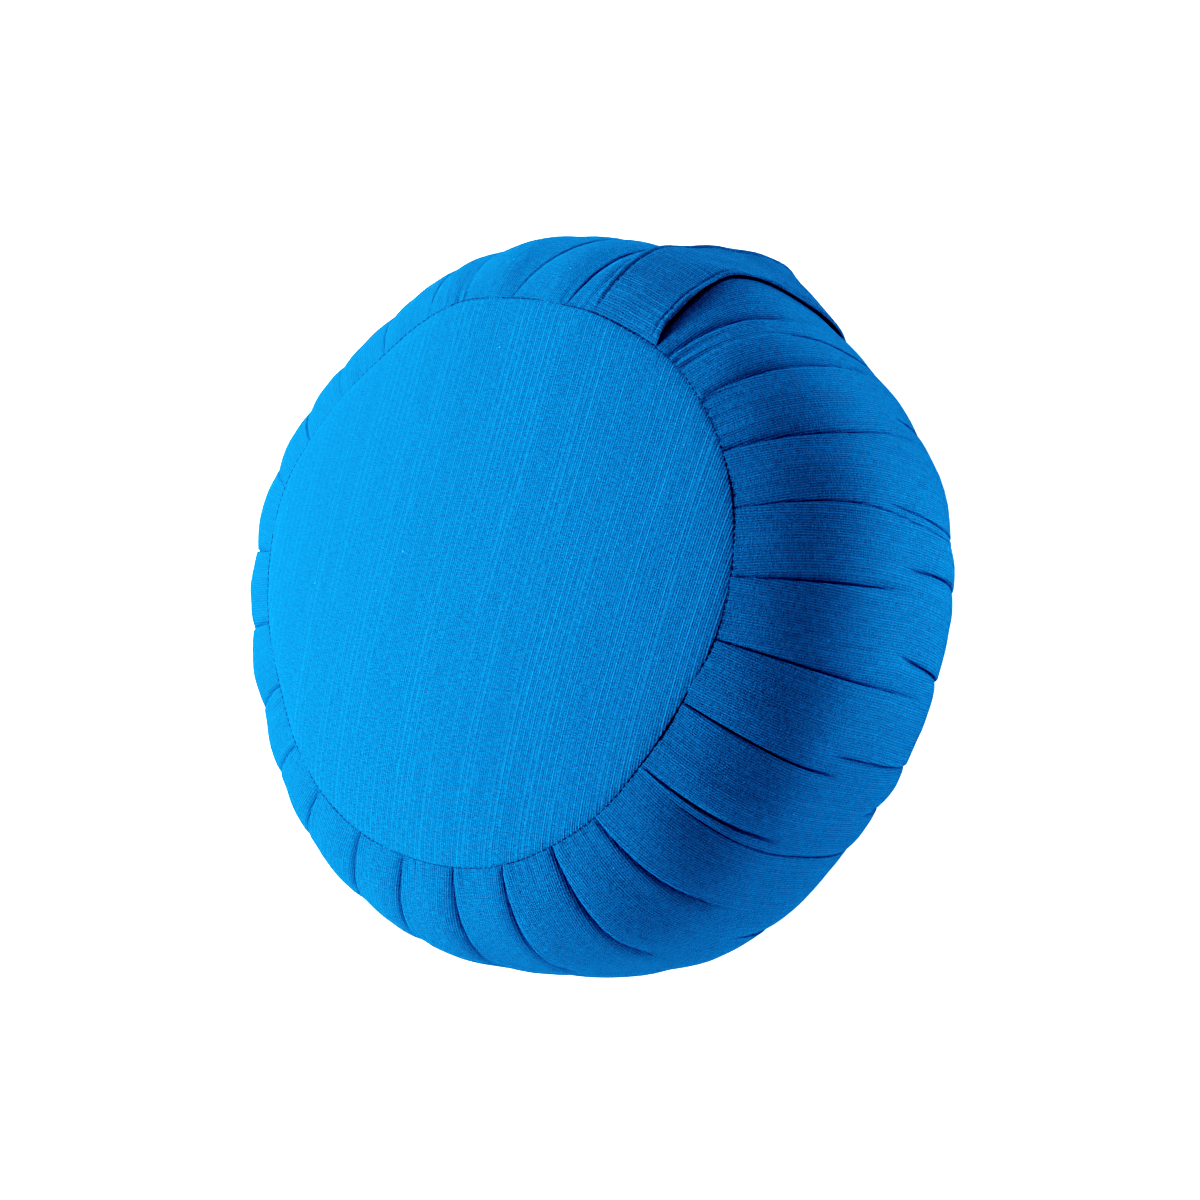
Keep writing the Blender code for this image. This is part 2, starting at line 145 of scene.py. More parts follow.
# Each lower fold rises between the upper fold of the same row and the next one.
LOWER_FOLDS = tuple(Fold(*row) for row in (
    (-186, -187.5, -189, 0.44, 2.1, 1, -1.2),
    (-178.5, -177, -174, 0.5, 2.4, 1, -2),
    (-168, -166.5, -161, 0.42, 1.9, 1, -1.4),
    (-155, -153.5, -149, 0.48, 2.2, 1, 0.6),
    (-140, -138.5, -136, 0.46, 2.4, 1, 2.2),
    (-122.5, -122, -122.5, 0.44, 2.1, 1, 0.4),
    (-102.8, -102.4, -104.8, 0.92, 2.6, 1, -4.2),
    (-94, -94.6, -96, 0.36, 1.9, 1, -3.4),
    (-84.6, -85.4, -85.9, 0.68, 2.7, -1, -2.9),
    (-71.5, -70.1, -68.4, 0.54, 2.6, -1, -1),
    (-57, -55.6, -56.6, 0.58, 2.4, -1, 1.2),
    (-46, -48.4, -47.4, 0.66, 2.2, -1, 3.8),
    (-29, -29.8, -32, 0.46, 2.2, -1, 1.8),
    (-19.5, -18.6, -17.2, 0.76, 1.9, -1, -2),
    (-6.5, -6.5, -6.5, 0.3, 0.8, -1, -2),
    (5, 4.6, 4.8, 0.3, 0.8, 1, -2.2),
    (12.3, 11.8, 11.6, 0.36, 1.6, 1, -1.9),
    (18.6, 17.4, 17.9, 0.44, 2.1, 1, -1.2),
    (31, 31.5, 33.5, 0.46, 2.2, 1, 0.8),
    (44.5, 44.6, 45.6, 0.42, 2.1, 1, 2.3),
    (55, 55.5, 57, 0.48, 2.2, 1, 1.9),
    (69, 69.5, 70, 0.44, 2.1, 1, 0.1),
    (78.5, 79, 80, 0.42, 1.9, 1, -1.4),
    (87, 88.5, 91.5, 0.5, 2.4, 1, -2),
    (103, 103.5, 105, 0.44, 2.2, 1, -0.8),
    (117, 118, 119.5, 0.42, 2.1, 1, 0.9),
    (131, 132.5, 134, 0.46, 2.2, 1, 2.1),
    (144, 145.5, 147.5, 0.44, 2.1, 1, 1.6),
    (155, 156.5, 159.5, 0.46, 2.2, 1, 0.2),
))

FOLDS = {Seam.UPPER: UPPER_FOLDS, Seam.LOWER: LOWER_FOLDS}

# The strap lies a little more limp and further aside than in the part's source.
STRAP_STANDOFF = tuple(Standoff(*row) for row in (
    (0, 0, 0, 0),
    (0.04, 2.6, 0.8, 1.2),
    (0.1, 2.9, 1.4, 3.2),
    (0.16, 3.4, 1.8, 5.4),
    (0.22, 4, 1.6, 7),
    (0.28, 4.6, 1.4, 7.8),
    (0.36, 3.6, 1.6, 6.4),
    (0.46, 2.3, 4, 3.6),
    (0.58, 1.3, 8.4, 1.2),
    (0.7, 1, 10.6, 0),
    (0.84, 0.8, 7.6, 0),
    (0.94, 0.4, 2.6, 0),
    (1, 0, 0, 0),
))


# ---------------------------------------------------------------------------------------------------------
# Sums that several pieces share


def smooth_step(value: Array | float, low: Array | float, high: Array | float) -> Array:
    """Rises smoothly from 0 where a value is low to 1 where it is high."""
    part = np.clip((value - low) / (high - low), 0.0, 1.0)
    return part * part * (3.0 - 2.0 * part)


def hump(off: Array, width: float) -> Array:
    """A smooth hump: 1 where off is 0, fading over its width."""
    return np.exp(-((off / width) ** 2))


def faded(distance: Array, reach: float) -> Array:
    """1 where a distance is 0, fading over a reach."""
    return np.exp(-distance / reach)


def running(steps: Array) -> Array:
    """Adds up steps from 0 on."""
    return np.concatenate(([0.0], np.cumsum(steps)))


def round_again(angles: Array) -> Array:
    """Angles that go round once, with the next two at either end."""
    return np.concatenate((angles[-2:] - FULL_TURN, angles, angles[:2] + FULL_TURN))


def knot_before(knots: Array, place: Array) -> Array:
    """The number of the knot before each place."""
    return np.clip(np.searchsorted(knots, place, side="right") - 1, 0, len(knots) - 2)


def angle_off(angle: Array, middle: Array | float) -> Array:
    """How far angles lie from a middle, the short way round."""
    return (angle - middle + FULL_TURN / 2.0) % FULL_TURN - FULL_TURN / 2.0


def column(rows: tuple[Fold, ...] | tuple[Standoff, ...], name: str) -> Array:
    """One field of every row of a table."""
    return np.array([getattr(row, name) for row in rows])


def placed(angle: Array, radius: Array, height: Array) -> Array:
    """Points at angles round from the strap, with x, y and z in the last axis."""
    turn = np.radians(angle)
    return np.stack(np.broadcast_arrays(radius * np.sin(turn), -radius * np.cos(turn), height), axis=-1)


def direction(azimuth: float, elevation: float) -> Vector:
    """The way from the cushion towards an azimuth and an elevation in degrees."""
    turn, rise = math.radians(azimuth), math.radians(elevation)
    return Vector((math.cos(turn) * math.cos(rise), math.sin(turn) * math.cos(rise), math.sin(rise)))


def on_curve(knots: Array, values: Array, slope: Array, place: Array) -> Array:
    """Reads a smooth curve through known points.

    Args:
        knots: where the points lie, rising.
        values: the curve's values there.
        slope: its slopes there.
        place: where the curve is read.

    Returns:
        The values at the places.
    """
    at = knot_before(knots, place)
    step = knots[at + 1] - knots[at]
    part = (place - knots[at]) / step
    rising = part * part * (3.0 - 2.0 * part)
    leaving = part * (1.0 - part) ** 2 * step * slope[at]
    arriving = -part * part * (1.0 - part) * step * slope[at + 1]
    return values[at] + (values[at + 1] - values[at]) * rising + leaving + arriving


def soft_table(knots: Array, values: Array, share: Array) -> Array:
    """Reads a table with rising knots at shares, on a smooth curve through its values."""
    return on_curve(knots, values, np.gradient(values, knots), share)


def smooth_round(folds: tuple[Fold, ...], name: str, angles: Array) -> Array:
    """Reads one field of the folds all round the cushion, on a smooth curve through its values.

    Args:
        folds: the folds of one seam, which close on themselves after a full turn.
        name: the field.
        angles: the angles to read it at.

    Returns:
        The values there.
    """
    knots = column(folds, "seam") % FULL_TURN
    order = np.argsort(knots)
    known, level = round_again(knots[order]), column(folds, name)[order]
    level = np.concatenate((level[-2:], level, level[:2]))
    slope = np.zeros_like(level)
    slope[1:-1] = (level[2:] - level[:-2]) / (known[2:] - known[:-2])
    return on_curve(known, level, slope, angles % FULL_TURN)


@dataclass(frozen=True)
class Ripple:
    """Gentle unevenness of hand-filled cloth: a sum of waves round the cushion and across its side."""

    seed: int
    waves: int
    fewest: int
    most: int
    across: float
    height: float

    def at(self, angle: Array, share: Array) -> Array:
        """The unevenness at angles and shares.

        Args:
            angle: angles in degrees.
            share: shares of the way across the cloth.

        Returns:
            Heights in the unit of self.height.
        """
        draw = np.random.default_rng(self.seed)
        total = np.zeros(np.broadcast(angle, share).shape)
        for _ in range(self.waves):
            around = int(draw.integers(self.fewest, self.most + 1))
            along = draw.uniform(-self.across, self.across)
            start = draw.uniform(0.0, math.tau)
            total += np.cos(np.radians(angle) * around + math.tau * along * share + start)
        return total * self.height / math.sqrt(self.waves)


@dataclass(frozen=True)
class CushionForm:
    """The filled cushion's plain form: a rounded section turned about Z, with the seams' uneven pull."""

    belly_radius: float = 0.165
    seam_radius: float = 0.125
    lower_seam_height: float = 0.009
    crown_height: float = 0.014
    crown_power: float = 2.4
    resting_share: float = 0.62
    lower_crown_power: float = 2.0
    section_half_height: float = 0.088
    section_out_power: float = 0.485
    section_up_power: float = 0.79
    section_samples: int = 1200
    nudge: float = 0.01
    seam_influence: float = 0.4
    resting_level: float = 0.00195

    @cached_property
    def section(self) -> tuple[Array, Array, Array, float]:
        """The plain side's section.

        Returns:
            Shares, radii and heights above the belly, from the upper seam down, and the section's length.
        """
        seam_turn = math.acos((self.seam_radius / self.belly_radius) ** (1.0 / self.section_out_power))
        turns = np.linspace(seam_turn, -seam_turn, self.section_samples)
        radii = self.belly_radius * np.cos(turns) ** self.section_out_power
        heights = self.section_half_height * np.sign(turns) * np.abs(np.sin(turns)) ** self.section_up_power
        shares = running(np.hypot(np.diff(radii), np.diff(heights)))
        return shares / shares[-1], radii, heights, float(shares[-1])

    @property
    def side_width(self) -> float:
        """The side's width from seam to seam, along the cloth."""
        return self.section[3]

    @property
    def belly_height(self) -> float:
        """Height of the widest place above the floor."""
        return self.lower_seam_height + float(self.section[2][0])

    @property
    def upper_seam_height(self) -> float:
        """Height of the upper seam above the floor."""
        return self.belly_height + float(self.section[2][0])

    def on_section(self, share: Array) -> tuple[Array, Array]:
        """Radius and height of the plain side at shares."""
        shares, radii, heights, _ = self.section
        return np.interp(share, shares, radii), self.belly_height + np.interp(share, shares, heights)

    def outward(self, share: Array) -> tuple[Array, Array]:
        """The plain side's outward direction.

        Args:
            share: shares of the way from the upper seam to the lower one.

        Returns:
            The direction's radial and upward parts.
        """
        radius_before, height_before = self.on_section(np.clip(share - self.nudge, 0.0, 1.0))
        radius_after, height_after = self.on_section(np.clip(share + self.nudge, 0.0, 1.0))
        out, up = radius_after - radius_before, height_after - height_before
        length = np.hypot(out, up)
        return -up / length, out / length

    def seam_pull(self, seam: Seam, angle: Array) -> Array:
        """How far a seam stands out from its mean circle, in metres."""
        return smooth_round(FOLDS[seam], "pull", angle) * MM

    def seam_round(self, seam: Seam, angle: Array) -> Array:
        """Radius of a seam at angles."""
        return self.seam_radius + self.seam_pull(seam, angle)

    def plain_side(self, angle: Array, share: Array) -> tuple[Array, Array]:
        """The side before it is pleated.

        Args:
            angle: angles in degrees.
            share: shares of the way from the upper seam to the lower one.

        Returns:
            Radii and heights.
        """
        radius, height = self.on_section(share)
        near_upper = 1.0 - smooth_step(share, 0.0, self.seam_influence)
        near_lower = 1.0 - smooth_step(1.0 - share, 0.0, self.seam_influence)
        radius = radius + self.seam_pull(Seam.UPPER, angle) * near_upper
        radius = radius + self.seam_pull(Seam.LOWER, angle) * near_lower
        belly = smooth_round(UPPER_FOLDS, "belly", angle) * MM
        return radius + belly * (1.0 - near_upper - near_lower), height

    def crown(self, seam: Seam, share_out: Array) -> Array:
        """Height of the filling under a round panel.

        Args:
            seam: which panel.
            share_out: 0 at the middle and 1 at the seam.

        Returns:
            Heights above the floor.
        """
        if seam is Seam.UPPER:
            return self.upper_seam_height + self.crown_height * (1.0 - share_out**self.crown_power)
        risen = np.maximum(0.0, share_out - self.resting_share) / (1.0 - self.resting_share)
        drop = self.lower_seam_height - self.resting_level
        return self.resting_level + drop * risen**self.lower_crown_power


# ---------------------------------------------------------------------------------------------------------
# Finishes


def shades(colour: Colour, spread: float) -> list[Numbers]:
    """A darker and a lighter shade of a colour, each as far from it as the spread says."""
    return [tuple(part * (1.0 + side * spread) for part in colour) + (1.0,) for side in (-1.0, 1.0)]


class Nodes:
    """Adds the nodes of one material and joins them up."""

    shift_aside = 0.7
    noise_roughness = 0.5

    def __init__(self, name: str) -> None:
        """Starts a material with its shader.

        Args:
            name: the material's name.
        """
        self.material = bpy.data.materials.new(name)
        self.material.use_nodes = True
        self.tree = self.material.node_tree
        self.shader = self.tree.nodes["Principled BSDF"]

    def give(self, socket: Socket, value: object) -> None:
        """Gives an input a plain value, or joins another node's output to it.

        Args:
            socket: the input.
            value: the value or the output.
        """
        if isinstance(value, bpy.types.NodeSocket):
            self.tree.links.new(value, socket)
        else:
            socket.default_value = value

    def dress(self, node: bpy.types.Node, **values: object) -> bpy.types.Node:
        """Sets a node's inputs and properties by name.

        Args:
            node: the node.
            values: properties in small letters, or inputs with a leading capital and _ for a space.

        Returns:
            The node.
        """
        for name, value in values.items():
            if name[0].islower():
                setattr(node, name, value)
            else:
                self.give(node.inputs[name.replace("_", " ")], value)
        return node

    def add(self, kind: str, **values: object) -> bpy.types.Node:
        """Adds a node of a kind, dressed with values."""
        return self.dress(self.tree.nodes.new(kind), **values)

    def blend(self, factor: Socket, low: object, high: object, kind: str = "RGBA") -> Socket:
        """Mixes two colours or two numbers.

        Args:
            factor: 0 for the first and 1 for the second.
            low: the first.
            high: the second.
            kind: RGBA for colours and FLOAT for numbers.

        Returns:
            The mixture's socket.
        """
        node = self.add("ShaderNodeMix", data_type=kind)
        first, result = (6, 2) if kind == "RGBA" else (2, 0)
        for number, value in ((0, factor), (first, low), (first + 1, high)):
            self.give(node.inputs[number], value)
        return node.outputs[result]

    def sum_of(self, parts: list[tuple[float, Socket]], start: float) -> Socket:
        """Adds up weighted values.

        Args:
            parts: weights and the sockets that they weigh.
            start: what the sum starts from.

        Returns:
            The sum's socket.
        """
        total: object = start
        for weight, socket in parts:
            node = self.add("ShaderNodeMath", operation="MULTIPLY_ADD")
            for number, value in enumerate((socket, weight, total)):
                self.give(node.inputs[number], value)
            total = node.outputs[0]
        return total

    def ramp(self, value: Socket, low: float, high: float, kind: str = "SMOOTHSTEP",
             least: float = 0.0) -> Socket:
        """Rises from the least where a value is low to 1 where it is high."""
        return self.add("ShaderNodeMapRange", interpolation_type=kind, Value=value,
                        From_Min=low, From_Max=high, To_Min=least).outputs[0]

    def uneven(self, place: Socket, gap: float, length: float, shift: float, detail: float = 0.0) -> Socket:
        """Unevenness that is drawn out along the cloth's V.

        Args:
            place: the cloth's own coordinates in metres.
            gap: how far apart its swells lie.
            length: how long they are.
            shift: moves the pattern, so that two layers differ.
            detail: how many finer layers it has.

        Returns:
            A socket that wanders round one half.
        """
        moved = (shift, shift * self.shift_aside, 0.0)
        stretched = self.add("ShaderNodeMapping", Vector=place, Location=moved,
                             Scale=(1.0 / gap, 1.0 / length, 1.0))
        return self.add("ShaderNodeTexNoise", noise_dimensions="2D", Vector=stretched.outputs[0],
                        Scale=1.0, Detail=detail, Roughness=self.noise_roughness).outputs[0]


@dataclass(frozen=True)
class Threads:
    """Raised threads along the cloth's V, laid almost evenly.

    gap is how far apart they lie, and length how far one keeps its thickness. low and high are the levels
    at which one starts to show and shows fully: its wave and its swell reach 2.5 on average. shift moves the
    pattern, so that two layers differ. drift is what moves them off even gaps.
    """

    gap: float
    length: float
    low: float
    high: float
    shift: float
    drift_gaps: float = 8.0
    drift_length: float = 0.4
    drift_shift: float = 5.0
    drift_turn: float = 5.0
    swell_gaps: float = 2.5
    wave_height: float = 2.0

    def build(self, nodes: Nodes, place: Socket) -> Socket:
        """Adds the threads to a material.

        Args:
            nodes: the material's nodes.
            place: the cloth's own coordinates in metres.

        Returns:
            A socket from 0 between threads to 1 on them.
        """
        across = nodes.add("ShaderNodeSeparateXYZ", Vector=place).outputs[0]
        moved = self.shift + self.drift_shift
        drift = nodes.uneven(place, self.gap * self.drift_gaps, self.drift_length, moved)
        turn = nodes.sum_of([(math.tau / self.gap, across), (self.drift_turn, drift)], self.shift)
        wave = nodes.add("ShaderNodeMath", operation="SINE", Value=turn).outputs[0]
        swell = nodes.uneven(place, self.gap * self.swell_gaps, self.length, self.shift)
        return nodes.ramp(nodes.sum_of([(self.wave_height, wave), (1.0, swell)], 0.0), self.low, self.high)


@dataclass(frozen=True)
class SlubCotton:
    """Matt plain-woven cotton whose threads swell into slubs along V of the cloth's own map.

    Weights are for the slubs, ribs, weft and grain.
    """

    name: str
    colour: Colour
    slub_strength: float = 1.0
    shade_range: float = 0.60
    slubs: Threads = Threads(0.0031, 0.150, 1.95, 2.45, 3.1)
    ribs: Threads = Threads(0.00108, 0.030, -0.6, 2.3, 17.3)
    weft_gap: float = 0.0006
    weft_length: float = 0.0040
    weft_shift: float = 41.9
    weft_levels: tuple[float, float] = (0.34, 0.66)
    grain: float = 0.00042
    grain_shift: float = 7.7
    grain_levels: tuple[float, float] = (0.30, 0.70)
    fine_detail: float = 1.0
    tone_weights: Numbers = (0.18, 0.19, 0.14, 0.50)
    tone_start: float = 0.06
    relief_weights: Numbers = (0.50, 0.40, 0.30, 0.20)
    bump_distance: float = 0.00045
    bump_strength: float = 0.6
    roughness: float = 0.95
    sheen: float = 0.06
    sheen_roughness: float = 0.5
    lint_spacing: float = 0.024
    lint_size: float = 0.018
    lint_levels: tuple[float, float] = (0.70, 0.90)
    lint_red: float = 0.03
    lint_green_gain: float = 1.5
    lint_blue_gain: float = 1.25
    middle_tone: float = 0.5
    # calm, calm_at and lively_at set how far the weave's tone is evened out on the lit +X side, as painted
    # light.
    calm: float = 0.5
    calm_at: float = 0.11
    lively_at: float = 0.0

    def material(self) -> bpy.types.Material:
        """Builds the cloth's material.

        Returns:
            The material.
        """
        nodes = Nodes(self.name)
        place = nodes.add("ShaderNodeUVMap", uv_map=CLOTH_MAP).outputs[0]
        turned = nodes.add("ShaderNodeMapping", Vector=place, Rotation=(0.0, 0.0, math.pi / 2.0)).outputs[0]
        weft = nodes.uneven(turned, self.weft_gap, self.weft_length, self.weft_shift, self.fine_detail)
        grain = nodes.uneven(place, self.grain, self.grain, self.grain_shift, self.fine_detail)
        layers = (
            self.slubs.build(nodes, place),
            self.ribs.build(nodes, place),
            nodes.ramp(weft, *self.weft_levels),
            nodes.ramp(grain, *self.grain_levels),
        )
        tone = self.evened_on_lit_side(nodes, nodes.sum_of(self.weighed(self.tone_weights, layers), self.tone_start))
        dark, light = shades(self.colour, self.shade_range)
        fleck = (self.lint_red, light[1] * self.lint_green_gain, light[2] * self.lint_blue_gain, 1.0)
        relief = nodes.sum_of(self.weighed(self.relief_weights, layers), 0.0)
        bump = nodes.add("ShaderNodeBump", Height=relief, Distance=self.bump_distance,
                         Strength=self.bump_strength)
        nodes.dress(
            nodes.shader,
            Base_Color=nodes.blend(self.lint(nodes, place), nodes.blend(tone, dark, light), fleck),
            Normal=bump.outputs[0],
            Roughness=self.roughness,
            Specular_IOR_Level=0.0,
            Sheen_Weight=self.sheen,
            Sheen_Roughness=self.sheen_roughness,
            Sheen_Tint=self.colour + (1.0,),
        )
        return nodes.material

    def weighed(self, weights: Numbers, layers: tuple[Socket, ...]) -> list[tuple[float, Socket]]:
        """The weave's layers with their weights, the slubs' one at their strength."""
        return list(zip((weights[0] * self.slub_strength,) + weights[1:], layers))

    def evened_on_lit_side(self, nodes: Nodes, tone: Socket) -> Socket:
        """Evens the weave's tone out towards +X, where the key lights fall most frontally and the weave
        shows less: painted light.

        Args:
            nodes: the material's nodes.
            tone: the weave's tone.

        Returns:
            The evened tone.
        """
        place = nodes.add("ShaderNodeTexCoord").outputs["Object"]
        aside = nodes.add("ShaderNodeSeparateXYZ", Vector=place).outputs[0]
        lively = nodes.ramp(aside, self.calm_at, self.lively_at, "LINEAR", self.calm)
        return nodes.blend(lively, self.middle_tone, tone, "FLOAT")

    def lint(self, nodes: Nodes, place: Socket) -> Socket:
        """Small pale flecks, one in every few cells of a loose net.

        Args:
            nodes: the material's nodes.
            place: the cloth's own coordinates.

        Returns:
            A socket that is 1 on a fleck.
        """
        cells = nodes.add("ShaderNodeTexVoronoi", voronoi_dimensions="2D", Vector=place,
                          Scale=1.0 / self.lint_spacing)
        near = nodes.ramp(cells.outputs["Distance"], self.lint_size, self.lint_size / 2.0, "LINEAR")
        both = nodes.add("ShaderNodeMath", operation="MULTIPLY", Value=near)
        nodes.give(both.inputs[1], nodes.ramp(cells.outputs["Color"], *self.lint_levels, "LINEAR"))
        return both.outputs[0]


@dataclass(frozen=True)
class SewingThread:
    """Dark blue sewing thread, two plies twisted together; its blue can be set darker than the thread's own,
    as painted shade.
    """

    name: str
    colour: Colour
    ply_gap: float = 0.0007
    shade_range: float = 0.5
    roughness: float = 0.75
    specular: float = 0.15

    def material(self) -> bpy.types.Material:
        """Builds the thread's material.

        Returns:
            The material.
        """
        nodes = Nodes(self.name)
        place = nodes.add("ShaderNodeTexCoord").outputs["Object"]
        plies = nodes.add("ShaderNodeTexNoise", Vector=place, Scale=1.0 / self.ply_gap, Detail=1.0)
        dark, light = shades(self.colour, self.shade_range)
        nodes.dress(
            nodes.shader,
            Base_Color=nodes.blend(plies.outputs[0], dark, light),
            Roughness=self.roughness,
            Specular_IOR_Level=self.specular,
            Specular_Tint=self.colour + (1.0,),
        )
        return nodes.material


@dataclass(frozen=True)
class PalePaint:
    """The studio floor's plain matt paper."""

    name: str
    colour: Colour
    glow: float

    def material(self) -> bpy.types.Material:
        """Builds the floor's material.

        Returns:
            The material.
        """
        nodes = Nodes(self.name)
        nodes.dress(nodes.shader, Base_Color=self.colour + (1.0,), Roughness=1.0, Specular_IOR_Level=0.0,
                    Emission_Color=(1.0, 1.0, 1.0, 1.0), Emission_Strength=self.glow)
        return nodes.material


PANEL_COTTON = SlubCotton("panel_slub_cotton", (0.0020, 0.222, 0.4220))
SIDE_COTTON = SlubCotton("side_slub_cotton", (0.0022, 0.210, 0.3990), slub_strength=0.4, shade_range=0.67)
# The strap is the same blue cotton as the side, about a fifth darker as painted shade for its face that
# turns away from the light.
SHADED_STRAP_COTTON = SlubCotton("strap_cotton_painted_shade", (0.0024, 0.182, 0.346), slub_strength=0.9, shade_range=0.72)
# The thread is dark blue, and darkened further as painted shade of the seams' grooves, so that the seams
# show as dark lines where no shadow falls in them; the strap's topstitches share it.
SEAM_THREAD_SHADE_DARKENED = SewingThread("seam_thread_shade_darkened", (0.002, 0.060, 0.114))


# ---------------------------------------------------------------------------------------------------------
# Making pieces


def put_up(name: str, data: bpy.types.ID) -> bpy.types.Object:
    """Makes an object of a mesh, a light or a camera and links it to the scene.

    Args:
        name: the object's name.
        data: what it is made of.

    Returns:
        The object.
    """
    made = bpy.data.objects.new(name, data)
    bpy.context.scene.collection.objects.link(made)
    return made


def lay_grid(points: Array, cloth: Array | None = None) -> bmesh.types.BMesh:
    """Lays a grid mesh out on points and welds it where it meets itself.

    Args:
        points: where each corner goes, by row and column.
        cloth: the cloth's own coordinates by face row, face column, corner row and corner column.

    Returns:
        The mesh, with a map for the cloth.
    """
    mesh = bmesh.new()
    layer = mesh.loops.layers.uv.new(CLOTH_MAP)
    rows, columns = points.shape[0] - 1, points.shape[1] - 1
    made = bmesh.ops.create_grid(mesh, x_segments=columns, y_segments=rows, size=0.5)["verts"]
    spots = {}
    for corner in made:
        row, column_at = round((0.5 - corner.co.y) * rows), round((corner.co.x + 0.5) * columns)
        spots[corner] = (row, column_at)
        corner.co = points[row, column_at]
    for face in (mesh.faces if cloth is not None else ()):
        row = min(spots[corner][0] for corner in face.verts)
        column_at = min(spots[corner][1] for corner in face.verts)
        for loop in face.loops:
            at_row, at_column = spots[loop.vert]
            loop[layer].uv = cloth[row, column_at, at_row - row, at_column - column_at]
    bmesh.ops.remove_doubles(mesh, verts=mesh.verts, dist=WELD)
    return mesh


def finish_piece(mesh: bmesh.types.BMesh, name: str, material: bpy.types.Material,
                 nodes: tuple[str, ...] = ()) -> bpy.types.Object:
    """Makes a shown piece of a mesh, dresses it and lets it ride on the cushion.

    Args:
        mesh: the finished mesh, which is used up.
        name: the piece's name.
        material: its finish.
        nodes: the CAD nodes that it stands for.

    Returns:
        The piece.
    """
    data = bpy.data.meshes.new(name)
    mesh.to_mesh(data)
    mesh.free()
    data.shade_smooth()
    data.materials.append(material)
    piece = put_up(name, data)
    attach(piece, ROOT)
    if nodes:
        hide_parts(*nodes)
    log.info("%s: %d faces", name, len(data.polygons))
    return piece


